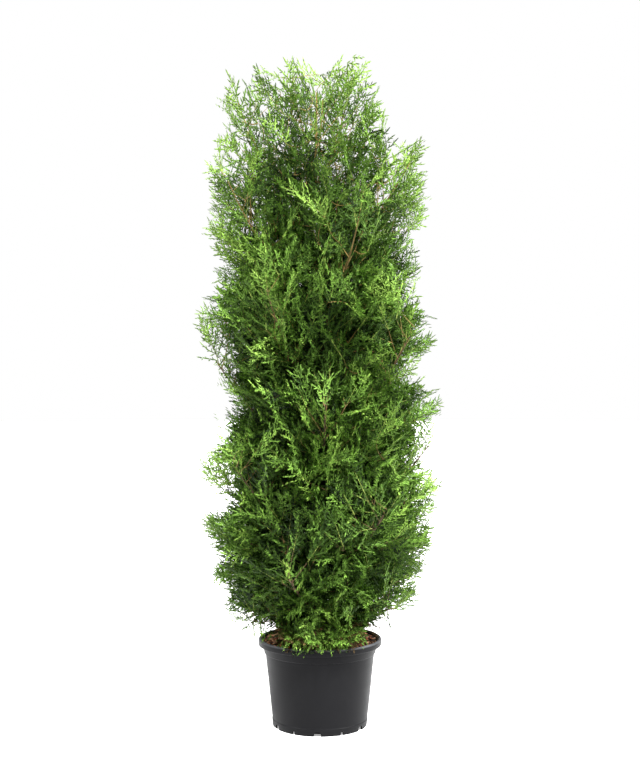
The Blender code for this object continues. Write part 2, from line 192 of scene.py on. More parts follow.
# Boughs, as in the solids, and the leading shoots: their tips and the heights that they leave the trunk at
BOUGH_COUNT = 24
LOWEST_TIP = 0.262
HIGHEST_TIP = 1.560
LOWEST_START = 0.020
FIRST_AZIMUTH = math.radians(200.0)
MOST_RISE = 0.36
RISE_SCALE = 0.30
LIFT = 0.030
LIFT_SHARE = 0.22
OUT_SHARE = 0.58
BOUGH_END = 0.36
STEM_END = 0.84
BOUGH_RADIUS = 0.0052
MOST_OF_TRUNK = 0.60
BOUGH_TAPER = 0.62
STEM_TAPER = 0.45
LEADERS = (
    ((-0.232, -0.030, 1.672), 1.300),
    ((-0.078, 0.020, 1.731), 1.440),
    ((0.095, -0.012, 1.733), 1.390),
    ((0.010, -0.120, 1.640), 1.350),
)
LEADER_OUT = 0.66
LEADER_LIFT = 0.36

# Bark: the sides and rings of its tubes, where a bough's ends, how closely its strips and knots stand, the
# radius that has the usual relief and how much more thick wood has, and the heights from which each wood
# looks young and wholly young
TRUNK_SIDES = 14
TRUNK_RING_PITCH = 0.008
BOUGH_SIDES = 8
BOUGH_RING_PITCH = 0.006
BARK_END = 0.88
BARK_SHARP_ANGLE = 60
STRIP_PITCH = 260
STRIP_PITCH_UP = 16
KNOT_PITCH = 60
USUAL_RADIUS = 0.006
MOST_RELIEF = 1.6
YOUNG_FROM = {
    "trunk_bark": (1.10, 1.60),
    "bough_bark": (0.90, 1.50),
    "twigs": (0.30, 1.20),
    "stalks_brown": (-0.60, 1.00),
}

# Outline of the leaves themselves, at closer heights than the solids keep to, and then their highest tips
# from left to right
LEAF_OUTLINE = (
    (0.200, 0.196, 0.194), (0.253, 0.195, 0.187), (0.284, 0.218, 0.233), (0.315, 0.257, 0.238),
    (0.378, 0.280, 0.263), (0.409, 0.296, 0.285), (0.440, 0.284, 0.276), (0.472, 0.294, 0.300),
    (0.534, 0.318, 0.302), (0.565, 0.284, 0.306), (0.628, 0.265, 0.314), (0.675, 0.320, 0.294),
    (0.721, 0.309, 0.288), (0.753, 0.290, 0.294), (0.784, 0.282, 0.311), (0.815, 0.249, 0.317),
    (0.846, 0.268, 0.328), (0.877, 0.277, 0.284), (0.909, 0.282, 0.243), (0.940, 0.285, 0.243),
    (0.971, 0.290, 0.284), (1.002, 0.286, 0.310), (1.065, 0.330, 0.299), (1.096, 0.323, 0.278),
    (1.127, 0.273, 0.266), (1.158, 0.279, 0.250), (1.190, 0.299, 0.252), (1.221, 0.287, 0.268),
    (1.252, 0.270, 0.239), (1.314, 0.296, 0.268), (1.346, 0.279, 0.286), (1.377, 0.292, 0.275),
    (1.439, 0.290, 0.275), (1.471, 0.246, 0.239), (1.502, 0.262, 0.268), (1.520, 0.255, 0.266),
    (1.535, 0.248, 0.165), (1.595, 0.262, 0.167), (1.627, 0.240, 0.162), (1.658, 0.246, 0.140),
    (1.689, 0.186, 0.130), (1.735, 0.090, 0.110),
)  # fmt: skip
HIGHEST_TIPS = (
    (-0.271, 1.600), (-0.250, 1.645), (-0.229, 1.662), (-0.187, 1.664), (-0.166, 1.700), (-0.146, 1.640),
    (-0.125, 1.632), (-0.104, 1.672), (-0.083, 1.700), (-0.042, 1.690), (-0.021, 1.668), (0.000, 1.652),
    (0.021, 1.672), (0.042, 1.686), (0.062, 1.708), (0.083, 1.712), (0.104, 1.708), (0.125, 1.695),
    (0.146, 1.640), (0.166, 1.590), (0.180, 1.490), (0.229, 1.497), (0.271, 1.490), (0.300, 1.345),
)  # fmt: skip
TIP_ROWS = np.transpose(HIGHEST_TIPS)

# Gaps through the crown: how far to the right, how high and how wide
CLEARINGS = (
    (0.161, 1.366, 0.020), (0.148, 1.352, 0.013), (-0.163, 1.325, 0.017), (-0.178, 1.300, 0.010),
    (-0.200, 1.470, 0.016), (-0.148, 1.488, 0.011), (0.000, 1.560, 0.010), (0.016, 1.734, 0.018),
)  # fmt: skip

# How far leaves may stand out of the solids' box
OVERHANG = 0.020

# Dents in the leafy surface: the deepest, how closely they stand, and where in the noise they are read
HOLLOW_DEPTH = 0.12
HOLLOW_PITCH = 11.0
HOLLOW_SHIFT = (75.8, 23.6, 2.1)

# The height that foliage keeps above, by its distance from the axis, in the middle and at the sides, and
# between which distances to the left and the right the one becomes the other
LOWEST_MIDDLE = ((0.125, 0.135, 0.160, 0.172), (0.222, 0.233, 0.235, 0.235))
LOWEST_SIDES = ((0.170, 0.190), (0.285, 0.240))
MIDDLE_TO_SIDES = (0.085, 0.105)

# By height: how strongly shoots turn up, and how far those that stand out are leaned in. Then how far low
# ones are raised, how much is left of their length after each step, and the least share that they keep
UPTURN = ((0.24, 0.32, 0.60, 1.10, 1.65), (-0.35, 0.02, 0.30, 0.38, 0.55))
LEAN_IN = ((1.45, 1.60), (0.22, 0.0))
RAISE = 0.25
SHORTEN = 0.93
LEAST_SHARE = 0.55

# By height: how far apart the middles of sprays keep, and how much further at the crown's very edge, with
# the depths between which that ends
SPACING = ((0.25, 1.15, 1.40, 1.60, 1.73), (0.0235, 0.026, 0.038, 0.051, 0.044))
EDGE_SPACING = ((1.45, 1.60), (0.026, 0.0))
EDGE_DEPTHS = (0.025, 0.085)

# How a spray stands: its lift and how far it may stand out, each with a stray, and the share of sprays that
# stand on edge, by height, with the stray of their turn
SPRAY_LIFT = 0.22
SPRAY_LIFT_STRAY = 0.06
SPRAY_SLACK = 0.002
SLACK_STRAY = 0.007
UPRIGHT_SHARE = ((0.40, 1.20), (0.60, 0.42))
UPRIGHT_STRAY = 0.50

# Twigs on a stem: between which shares of its length they leave it, at what angle, and their sizes
FIRST_TWIG = 0.20
LAST_TWIG = 0.97
TWIG_PITCH = math.radians(56.0)
TWIG_PITCHES = (0.80, 1.15)
TWIG_SHRINK = 0.42
TWIG_SIZES = (0.85, 1.10)
TWIG_BEND = 0.30
TWIG_SLACK = -0.045
TWIG_RADIUS = 0.0016
TWIG_TAPER = 0.55

# Sprays on a twig: the one at its tip, then the shares of its length that the others stand at, the angle
# they leave it at and their sizes
TIP_SHARE = 0.94
TIP_SIZES = (0.8, 1.3)
FIRST_SIDE_SPRAY = 0.15
SIDE_SPRAY_SPAN = 0.75
SIDE_SPRAY_ROLL = 0.9
SIDE_SPRAY_TURN = math.radians(54.0)
SIDE_SPRAY_TURNS = (0.6, 1.4)
SIDE_SPRAY_SIZE = 1.05
SIDE_SPRAY_SHRINK = 0.35

# Sprays on a stem itself, and at the trunk's tip
FIRST_STEM_SPRAY = 0.08
STEM_SPRAY_PITCH = math.radians(42.0)
USUAL_SIZES = (0.8, 1.2)
CREST_SPRAYS = 6

# Sprays that fill bare places, on twigs from the nearest bud: how far behind the spray a bud is looked for,
# how long and how bent a twig may be, and how the places and aims are drawn
BUD_BACK = 0.025
LONGEST_FILL = 0.16
STRAIGHTEST = 0.30
FILL_TWIG_RADIUS = 0.6
FILL_INSET = (0.02, 0.05)
FILL_REACH = (0.12, 1.0)
FILL_SPREAD = ((1.45, 1.70), (1.0, 0.5))
FILL_SIZES = (0.8, 1.25)
FILL_STRAY = 0.35
FILL_RISE = 0.15

# Tufts that stand out of the crown: how far to the right and how high their outermost tips are, and then
# how many sprays are tried for each, how close they stand and how their tips and aims are drawn
TUFTS = (
    (-0.262, 1.508), (-0.294, 1.445), (-0.283, 1.410), (-0.291, 1.372), (-0.291, 1.308), (-0.323, 1.083),
    (-0.315, 0.674), (-0.304, 0.540), (-0.286, 0.485), (-0.284, 0.414), (-0.246, 0.315), (-0.247, 1.650),
    (0.268, 1.508), (0.276, 1.440), (0.276, 1.390), (0.284, 1.356), (0.304, 1.010), (0.302, 0.643),
    (0.294, 0.518), (0.291, 0.484), (0.250, 0.357), (0.192, 0.254), (0.166, 1.612), (0.116, 1.702),
    (0.100, 1.724), (-0.084, 1.730), (-0.066, 1.724), (0.320, 0.842), (0.273, 0.424), (-0.192, 0.254),
    (0.262, 1.215), (0.292, 0.585),
)  # fmt: skip
TUFT_TRIALS = 12
TUFT_SPACING = ((1.20, 1.45, 1.65), (0.017, 0.024, 0.036))
TUFT_SLACK = 0.08
TUFT_SPREAD = ((1.45, 1.70), (1.0, 0.3))
TUFT_SIZES = (0.7, 1.1)
TUFT_STRAY = 0.25
TUFT_FRONTS = (-0.05, 0.04)
TUFT_DROP = (0.0, 0.02)
TUFT_INSET = (0.0, 0.03)

# Sprays that hang over the mulch and the pot's rim: where they are, how they fall and how close they stand
SKIRT_HALF = 0.09
SKIRT_RADII = (0.06, 0.158)
SKIRT_HEIGHTS = (0.231, 0.265)
SKIRT_FALLS = (-0.45, 0.05)
SKIRT_STRAY = 0.4
SKIRT_SIZES = (0.5, 0.8)
SKIRT_SPACING = 0.0085

# Sprays that hang are taken out above a height, with the twigs that end near them
RISING_FROM = 1.62
LEAST_RISE = -0.15
TWIG_NEAR = 0.010

# Stalk of a spray: its radius, how far along the spray it runs and how far it is lifted by then, and the
# depth in the crown from which it is brown, not green
STALK_RADIUS = 0.0011
STALK_SHARE = 0.62
STALK_LIFT = 0.38
BROWN_STALK_FROM = 0.09
STALK_GREEN = (0.270, 0.330, 0.070)

# Patterns that sprays are copies of: their lengths, how many of each, and how their branches are drawn
PATTERN_LENGTHS = (0.070, 0.090, 0.110, 0.135)
PATTERNS_EACH = 5
AXIS_WAVES = (0.03, 0.09)
AXIS_LEAF = 0.0150
AXIS_LEAF_BACK = 0.004
AXIS_STRAY = 0.10
BRANCH_REACH = 0.40
LEAST_BRANCH = 0.006
BRANCH_SIZES = (0.70, 1.15)
BRANCH_ANGLE = math.radians(56.0)
BRANCH_ANGLE_STRAY = 0.08
BRANCH_RISE_STRAY = 0.50
BRANCH_CURLS = (-0.02, 0.16)
HEADING_STRAY = 0.05
LOBE_ANGLE = math.radians(41.0)
LOBE_ANGLES = (0.8, 1.2)
LOBE_SIZES = (0.75, 1.15)
LOBE_SHRINK = 0.40
FOLD = 0.50

# Pitch of the branches, then pitch, length, width and stray of the lobes: of usual sprays, of those at the
# crown's open top, and of those that close its inside, with the height and the depth that those start at
MAKES = {
    "fine": (0.0094, 0.0076, 0.0135, 0.0034, 0.38),
    "open": (0.0108, 0.0088, 0.0160, 0.0040, 0.28),
    "broad": (0.0098, 0.0084, 0.0145, 0.0052, 0.45),
}
OPEN_FROM = 1.38
BROAD_FROM = 0.080

# How light sprays are: by height, partly for younger growth at the top and older below, partly as painted
# light
# and shade from above; further out to the left and the right, as painted light from the side lamps; in patches
# and with a stray
TONE = ((0.24, 0.29, 0.60, 1.00, 1.35, 1.70), (0.36, 0.72, 0.90, 0.89, 0.97, 0.93))
FLANK_PAINTED_LIGHT = ((-0.30, -0.12, 0.08, 0.28), (0.07, 0.0, 0.0, 0.18))
PATCH_TONE = 0.27
PATCH_PITCH = 7.0
PATCH_SHIFT = (71.2, 75.3, 17.7)
SPRAY_TONE_STRAY = 0.10
BRANCH_TONE_STRAY = 0.09

# Painted shade: how much darker branches are with their depth in the crown, and for how much of that by height
DEPTH_SHADE = 0.64
DEPTH_SHADE_SCALE = 0.042
DEPTH_SHADE_SHARE = ((0.25, 0.50), (0.55, 1.0))

# Base colour and material slot of each kind of spray, and the tone below which each green is dealt out
# The deep green, nearly black, is painted shade for the inside of the crown
GREENS = {
    "deep": ((0.012, 0.030, 0.004), "foliage_2"),
    "shade": ((0.044, 0.096, 0.012), "foliage_2"),
    "leaf": ((0.102, 0.200, 0.028), "foliage_0"),
    "bright": ((0.172, 0.325, 0.046), "foliage_1"),
    "fresh": ((0.262, 0.438, 0.072), "foliage_3"),
    "bronze": ((0.120, 0.076, 0.028), "foliage_2"),
}
GREEN_BELOW = {"deep": 0.16, "shade": 0.36, "leaf": 0.56, "bright": 0.78}

# The height below which old sprays have turned bronze, and how many of them have
BRONZE_BELOW = 0.27
BRONZE_SHARE = 0.40

# How closely the grain of painted light and shade on the leaves stands, and the most triangles that a piece
# has
LOBE_LIGHT_GRAIN = 240.0
LARGEST_PIECE = 190000


def colour_setting(name, description, default):
    """A colour to choose in the panel."""
    return FloatVectorProperty(name=name, description=description, subtype="COLOR", size=3, default=default)


def length_setting(name, description, default, least):
    """A length to choose in the panel."""
    return FloatProperty(name=name, description=description, unit="LENGTH", default=default, min=least)


def count_setting(name, description, default, least):
    """A count to choose in the panel."""
    return IntProperty(name=name, description=description, default=default, min=least)


class PotSettings(bpy.types.PropertyGroup):
    """The nursery pot's plastic."""

    colour: colour_setting("Plastic", "Base colour of the moulded plastic", (0.0079, 0.0079, 0.0088))
    roughness: FloatProperty(
        name="Roughness",
        description="How dull the plastic is",
        subtype="FACTOR",
        default=0.44,
        min=0.05,
        max=1.0,
    )


class MulchSettings(bpy.types.PropertyGroup):
    """The bark mulch on the soil."""

    chips: count_setting("Chips", "How many bark chips of each colour lie on the soil", 400, 1)
    chip_length: length_setting("Chip length", "Length of a usual chip", 0.011, 0.002)


class BarkSettings(bpy.types.PropertyGroup):
    """The bark of the trunk and boughs."""

    old_colour: colour_setting("Old bark", "Base colour of the bark on the trunk", (0.150, 0.088, 0.046))
    young_colour: colour_setting(
        "Young bark", "Base colour of the bark on leading shoots and young twigs", (0.380, 0.250, 0.070)
    )
    relief: length_setting("Relief", "Depth of the bark's furrows on the trunk", 0.0010, 0.0)


class FoliageSettings(bpy.types.PropertyGroup):
    """Twigs and sprays."""

    twigs: count_setting("Twigs", "Twigs on the stem of each mass", 22, 2)
    twig_length: length_setting("Twig length", "Length of the longest twigs", 0.125, 0.02)
    side_sprays: count_setting("Sprays on a twig", "Side sprays on each twig besides its tip's", 5, 1)
    stem_sprays: count_setting("Sprays on a stem", "Sprays that leave the stem of each mass itself", 24, 1)
    fill_trials: count_setting(
        "Filling", "How many places in the crown are tried for a bare spot that a twig then fills", 24000, 0
    )
    spray_length: length_setting("Spray length", "Length of a usual spray", 0.095, 0.03)


class StageSettings(bpy.types.PropertyGroup):
    """The floor, lights and camera."""

    distance: length_setting("Camera distance", "From the camera to the plant's axis", 3.07, 1.0)
    height: length_setting("Camera height", "Height of the camera above the floor", 0.867, 0.0)


# Materials


class Value:
    """A node socket that takes part in Python sums."""

    def __init__(self, tree, socket):
        self.tree = tree
        self.socket = socket

    def maths(self, operation, *operands, clamp=False):
        """The outcome of a Math node on sockets and numbers."""
        node = self.tree.nodes.new("ShaderNodeMath")
        node.operation = operation
        node.use_clamp = clamp
        for slot, operand in zip(node.inputs, operands):
            if isinstance(operand, Value):
                self.tree.links.new(operand.socket, slot)
            else:
                slot.default_value = operand
        return Value(self.tree, node.outputs[0])

    def __add__(self, other):
        return self.maths("ADD", self, other)

    __radd__ = __add__

    def __mul__(self, other):
        return self.maths("MULTIPLY", self, other)

    __rmul__ = __mul__

    def __sub__(self, other):
        return self.maths("SUBTRACT", self, other)

    def __rsub__(self, other):
        return self.maths("SUBTRACT", other, self)

    def above(self, edge, softness):
        """Zero below an edge and one above it, over a soft width."""
        scaled = (self - edge) * (1.0 / softness)
        return scaled.maths("ADD", scaled, 0.0, clamp=True)


def add_node(tree, kind, settings=None, inputs=None, output=0):
    """Adds a node, sets it, then fills its sockets with values or links."""
    made = tree.nodes.new(kind)
    for key, value in (settings or {}).items():
        setattr(made, key, value)
    for key, value in (inputs or {}).items():
        if isinstance(value, Value):
            tree.links.new(value.socket, made.inputs[key])
        else:
            made.inputs[key].default_value = value
    return Value(tree, made.outputs[output])


class Finish:
    """One material's node tree and the calls that fill it."""

    def __init__(self, name, colour, roughness, specular=0.5):
        self.material = bpy.data.materials.new(name)
        self.material.use_nodes = True
        self.material.diffuse_color = (*colour, 1.0)
        self.tree = self.material.node_tree
        self.shader = self.tree.nodes["Principled BSDF"]
        self.shader.inputs["Base Color"].default_value = (*colour, 1.0)
        self.shader.inputs["Roughness"].default_value = roughness
        self.shader.inputs["Specular IOR Level"].default_value = specular

    def node(self, kind, settings=None, inputs=None, output=0):
        """Adds a node to the material."""
        return add_node(self.tree, kind, settings, inputs, output)

    def place(self, stretch=(1.0, 1.0, 1.0)):
        """Object coordinates, stretched."""
        where = self.node("ShaderNodeTexCoord", output="Object")
        return self.node("ShaderNodeMapping", inputs={"Vector": where, "Scale": stretch})

    def height(self):
        """The height above the floor."""
        where = self.node("ShaderNodeTexCoord", output="Object")
        return self.node("ShaderNodeSeparateXYZ", inputs={"Vector": where}, output="Z")

    def noise(self, scale, detail=3.0, stretch=(1.0, 1.0, 1.0)):
        """Soft random patches."""
        inputs = {"Vector": self.place(stretch), "Scale": scale, "Detail": detail, "Roughness": 0.55}
        return self.node("ShaderNodeTexNoise", inputs=inputs, output="Fac")

    def cells(self, scale, stretch=(1.0, 1.0, 1.0)):
        """How far a place is from the middle of its cell."""
        inputs = {"Vector": self.place(stretch), "Scale": scale}
        return self.node("ShaderNodeTexVoronoi", inputs=inputs, output="Distance")

    def blend(self, share, first, second):
        """Mixes two colours by a share."""
        ends = [end if isinstance(end, Value) else (*end, 1.0) for end in (first, second)]
        inputs = {0: share, 6: ends[0], 7: ends[1]}
        return self.node("ShaderNodeMix", {"data_type": "RGBA"}, inputs, output=2)

    def feed(self, socket, value):
        """Links a value to a socket of the shader."""
        self.tree.links.new(value.socket, self.shader.inputs[socket])

    def bump(self, height, distance):
        """Raises the surface by a height that a value deals out."""
        inputs = {"Height": height, "Distance": distance, "Strength": 1.0}
        self.feed("Normal", self.node("ShaderNodeBump", inputs=inputs, output="Normal"))


def shade(colour, factor):
    """A colour made lighter or darker."""
    return tuple(channel * factor for channel in colour)


def plastic_finish(settings):
    """Moulded plastic: satin, a little dusty, with a painted highlight along its lip, and fine flow marks
    round it.
    """
    colour = tuple(settings.colour)
    finish = Finish("pot_plastic", colour, settings.roughness, specular=0.080)
    dust = finish.noise(9.0, detail=6.0)
    marks = finish.noise(2.5, detail=2.0, stretch=(1.0, 1.0, 30.0))
    grain = finish.noise(900.0, detail=2.0)
    dusty = finish.blend(dust.above(0.45, 0.35) * 0.4, colour, shade(colour, 1.7))
    # Painted highlight: a pale grey band over the crest of the lip, broken by noise, where the lamps would
    # glint
    lip_highlight = finish.height().above(RIM_TOP - LIP_HIGHLIGHT_DEPTH, LIP_HIGHLIGHT_BLEND) * (finish.noise(60.0) * 0.8 + 0.4)
    finish.feed("Base Color", finish.blend(lip_highlight, dusty, LIP_HIGHLIGHT))
    finish.feed("Roughness", (dust - 0.5) * 0.16 + (marks - 0.5) * 0.08 + settings.roughness)
    finish.bump(grain + marks * 3.0, 0.00006)
    return finish.material


def mulch_finish(name, colour):
    """Damp bark, lighter on its torn edges."""
    finish = Finish(name, colour, 0.92)
    grain = finish.noise(420.0, detail=4.0)
    patches = finish.noise(55.0)
    finish.feed("Base Color", finish.blend(patches.above(0.35, 0.3), shade(colour, 0.5), shade(colour, 1.3)))
    finish.feed("Roughness", grain * 0.18 + 0.80)
    finish.bump(grain, 0.0010)
    return finish.material


def bark_finish(name, settings):
    """Fibrous bark in long strips, greyer on its ridges, and smoother and redder on younger wood."""
    old, young = tuple(settings.old_colour), tuple(settings.young_colour)
    first_young, all_young = YOUNG_FROM[name]
    finish = Finish(name, old, 0.85)
    strips = finish.noise(90.0, detail=4.0, stretch=(1.0, 1.0, 0.12))
    patches = finish.noise(14.0)
    age = finish.height().above(first_young, all_young - first_young)
    ridge = finish.blend(patches.above(0.45, 0.3), shade(old, 1.25), (0.210, 0.170, 0.130))
    aged = finish.blend(strips.above(0.40, 0.25), shade(old, 0.40), ridge)
    fresh = finish.blend(strips.above(0.30, 0.40), shade(young, 0.70), shade(young, 1.15))
    finish.feed("Base Color", finish.blend(age, aged, fresh))
    finish.feed("Roughness", 0.95 - strips * 0.25)
    finish.bump(strips, 0.0012)
    return finish.material


def leaf_finish(name, colour):
    """Waxy scale leaves of one green, with faint lighter and darker stretches, a fine grain of painted light
    and shade between the lobes, and overlapping scales.
    """
    finish = Finish(name, colour, 0.55, specular=0.16)
    patches = finish.noise(60.0, detail=2.0)
    scales = finish.cells(520.0)
    lobe_light = finish.noise(LOBE_LIGHT_GRAIN, detail=1.0)
    # Painted light and shade: a fine grain of lit and shaded copies of the green, lobe by lobe
    light = patches.above(0.35, 0.3) * 0.3 + lobe_light.above(0.40, 0.20) * 0.7
    finish.feed("Base Color", finish.blend(light, shade(colour, 0.30), shade(colour, 1.64)))
    finish.feed("Roughness", patches * 0.14 + 0.44)
    finish.bump(scales, 0.0006)
    return finish.material


# Pieces


def show_mesh(mesh, name, surface, nodes=()):
    """Makes a mesh a piece that rides on the plant's one body."""
    piece = bpy.data.objects.new(name, mesh)
    bpy.context.scene.collection.objects.link(piece)
    mesh.materials.append(surface)
    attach(piece, BODY)
    if nodes:
        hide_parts(*nodes)
    return piece


def mesh_from(shape, name, smooth_angle=None):
    """Closes a bmesh's work: faces outwards, then a mesh."""
    bmesh.ops.recalc_face_normals(shape, faces=shape.faces)
    mesh = bpy.data.meshes.new(name)
    shape.to_mesh(mesh)
    shape.free()
    if smooth_angle is not None:
        mesh.shade_smooth()
        mesh.set_sharp_from_angle(angle=math.radians(smooth_angle))
    return mesh


def mesh_from_arrays(name, corners, triangles):
    """A mesh from one array of corners and one of triangles."""
    mesh = bpy.data.meshes.new(name)
    mesh.vertices.add(len(corners))
    mesh.vertices.foreach_set("co", np.asarray(corners, dtype=np.float32).ravel())
    mesh.loops.add(3 * len(triangles))
    mesh.loops.foreach_set("vertex_index", np.asarray(triangles, dtype=np.int32).ravel())
    mesh.polygons.add(len(triangles))
    mesh.polygons.foreach_set("loop_start", np.arange(0, 3 * len(triangles), 3, dtype=np.int32))
    mesh.update(calc_edges=True)
    return mesh


def joined(shapes):
    """One array of corners and one of triangles from many such pairs."""
    starts = np.cumsum([0] + [len(corners) for corners, _ in shapes[:-1]])
    triangles = [faces + start for (_, faces), start in zip(shapes, starts)]
    return np.concatenate([corners for corners, _ in shapes]), np.concatenate(triangles)


def turned(profile, steps):
    """Spins a (radius, height) profile, which starts and ends on the axis, into a closed shape."""
    shape = bmesh.new()
    line = [shape.verts.new((radius, 0.0, height)) for radius, height in profile]
    edges = [shape.edges.new(pair) for pair in zip(line, line[1:])]
    bmesh.ops.spin(
        shape,
        geom=line + edges,
        cent=(0, 0, 0),
        axis=(0, 0, 1),
        angle=math.tau,
        steps=steps,
        use_merge=True,
    )
    bmesh.ops.remove_doubles(shape, verts=shape.verts, dist=1e-6)
    return shape


def rounded(corners, steps=5):
    """Softens the corners of a profile of (radius, height, softness) points with short curves."""
    path = []
    for index, (radius, height, softness) in enumerate(corners):
        corner = Vector((radius, height))
        if not softness:
            path.append(corner)
            continue
        before = Vector(corners[index - 1][:2])
        after = Vector(corners[index + 1][:2])
        first = corner + (before - corner).normalized() * softness
        last = corner + (after - corner).normalized() * softness
        for step in range(steps):
            share = step / (steps - 1)
            path.append(first.lerp(corner, share).lerp(corner.lerp(last, share), share))
    return path


# Pot and mulch


def pot_profile():
    """Over the inside from its middle, over the rolled lip, down the outside, and back through the drain
    channel to the flat middle of the underside."""
    floor_top = DRAIN_HEIGHT + FLOOR_THICKNESS
    return rounded(
        (
            (0.0, FLOOR_THICKNESS, 0),
            (DRAIN_INNER_RADIUS - WALL, FLOOR_THICKNESS, 0),
            (DRAIN_INNER_RADIUS - WALL + DRAIN_SLOPE, floor_top, 0),
            (FOOT_RADIUS + 0.0008 - WALL, floor_top, 0.002),
            (BODY_TOP_RADIUS - WALL, BODY_TOP + 0.004, 0),
            (COLLAR_RADIUS - WALL, LIP_FOOT, 0),
            (RIM_RADIUS - 0.0090, RIM_TOP - 0.0030, 0.0012),
            (RIM_RADIUS - 0.0065, RIM_TOP, 0.0018),
            (RIM_RADIUS, RIM_TOP, 0.0050),
            (RIM_RADIUS, LIP_FOOT, 0.0032),
            (COLLAR_RADIUS + 0.0006, LIP_FOOT - 0.0004, 0.0012),
            (COLLAR_RADIUS - 0.0030, COLLAR_FOOT, 0.0016),
            (BODY_TOP_RADIUS + 0.0002, COLLAR_FOOT - 0.0012, 0.0012),
            (BODY_TOP_RADIUS, BODY_TOP, 0.0008),
            (FOOT_RADIUS + 0.0011, BAND_HEIGHT + 0.0014, 0.0006),
            (FOOT_RADIUS + 0.0020, BAND_HEIGHT - 0.0004, 0.0006),
            (FOOT_RADIUS, 0.0, 0.0008),
            (FOOT_RADIUS - FOOT_WALL, 0.0, 0.0008),
            (FOOT_RADIUS - FOOT_WALL + 0.0004, DRAIN_HEIGHT, 0),
            (DRAIN_INNER_RADIUS + DRAIN_SLOPE, DRAIN_HEIGHT, 0),
            (DRAIN_INNER_RADIUS, 0.0, 0.0008),
            (0.0, 0.0, 0),
        )
    )


def notch_cutters():
    """Tapered blocks through the foot's skirt, six wide ones with a narrow one between each pair."""
    shape = bmesh.new()
    for index in range(2 * NOTCH_COUNT):
        width, height = SMALL_NOTCH if index % 2 else LARGE_NOTCH
        made = bmesh.ops.create_cube(shape, size=1.0)["verts"]
        for corner in made:
            upper = corner.co.z > 0
            corner.co.x = FOOT_RADIUS - CUTTER_INSET + CUTTER_DEPTH * corner.co.x
            corner.co.y *= width * (NOTCH_TAPER if upper else 1.0)
            corner.co.z = height if upper else -CUTTER_BELOW
        turn = Matrix.Rotation(NOTCH_TURN + index * math.pi / NOTCH_COUNT, 3, "Z")
        bmesh.ops.rotate(shape, verts=made, cent=(0, 0, 0), matrix=turn)
    return shape


def cut_away(shape, cutter, name):
    """A mesh of one bmesh less another."""
    pair = []
    for part, made in ((shape, "blank"), (cutter, "cutter")):
        pair.append(bpy.data.objects.new(made, mesh_from(part, made)))
        bpy.context.scene.collection.objects.link(pair[-1])
    blank, tool = pair
    cut = blank.modifiers.new("cut", "BOOLEAN")
    cut.operation = "DIFFERENCE"
    cut.solver = "EXACT"
    cut.object = tool
    graph = bpy.context.evaluated_depsgraph_get()
    mesh = bpy.data.meshes.new_from_object(blank.evaluated_get(graph))
    mesh.name = name
    for item in pair:
        bpy.data.objects.remove(item, do_unlink=True)
    return mesh


class ConiferPot(bpy.types.Operator):
    """Turns the pot from its profile and cuts the notches in its foot"""

    bl_idname = "conifer.pot"
    bl_label = "Pot"

    def execute(self, context):
        mesh = cut_away(turned(pot_profile(), POT_STEPS), notch_cutters(), "pot_body")
        mesh.shade_smooth()
        mesh.set_sharp_from_angle(angle=math.radians(POT_SHARP_ANGLE))
        show_mesh(mesh, "pot_body", plastic_finish(context.scene.conifer_pot), ["pot"])
        return {"FINISHED"}


def mulch_height(x, y):
    """The lumpy top of the mulch, a little higher round the trunk."""
    share = math.hypot(x, y) / MULCH_RADIUS
    lumps = noise.noise(Vector((x * LUMP_PITCH, y * LUMP_PITCH, 0.0)))
    lumps += 0.5 * noise.noise(Vector((x * FINE_LUMP_PITCH, y * FINE_LUMP_PITCH, 3.0)))
    return MULCH_MIDDLE - MULCH_DIP - (MULCH_MIDDLE - MULCH_EDGE) * share**2 + MULCH_RELIEF * lumps


def mulch_bed():
    """A closed layer whose top is lumpy."""
    top = [(MULCH_RADIUS * step / MULCH_RINGS, MULCH_MIDDLE) for step in range(MULCH_RINGS + 1)]
    bottom = [(MULCH_RADIUS - MULCH_TAPER, MULCH_EDGE - MULCH_DEPTH), (0.0, MULCH_EDGE - MULCH_DEPTH)]
    shape = turned(top + bottom, POT_STEPS)
    for corner in shape.verts:
        if corner.co.z > MULCH_EDGE:
            corner.co.z = mulch_height(corner.co.x, corner.co.y)
    return shape


def chip(draw, length):
    """A torn splinter of bark: a wedge of eight corners, each out of true."""
    size = length * draw.uniform(0.45, 1.5)
    half = np.array([size, size * draw.uniform(0.28, 0.60), size * draw.uniform(0.10, 0.24)]) / 2
    signs = np.array([(x, y, z) for x in (-1, 1) for y in (-1, 1) for z in (-1, 1)], dtype=float)
    corners = signs * half * np.array([[draw.uniform(0.55, 1.1) for _ in range(3)] for _ in signs])
    tilt = Matrix.Rotation(draw.uniform(-0.5, 0.5), 3, "X") @ Matrix.Rotation(draw.uniform(-0.4, 0.4), 3, "Y")
    turn = np.array(Matrix.Rotation(draw.uniform(0, math.tau), 3, "Z") @ tilt)
    reach = MULCH_RADIUS - 0.6 * size
    radius = reach * math.sqrt(draw.random())
    angle = draw.uniform(0, math.tau)
    x, y = radius * math.cos(angle), radius * math.sin(angle)
    raised = mulch_height(x, y) + draw.uniform(0.0003, 0.0030)
    return corners @ turn.T + np.array([x, y, raised]), CHIP_FACES


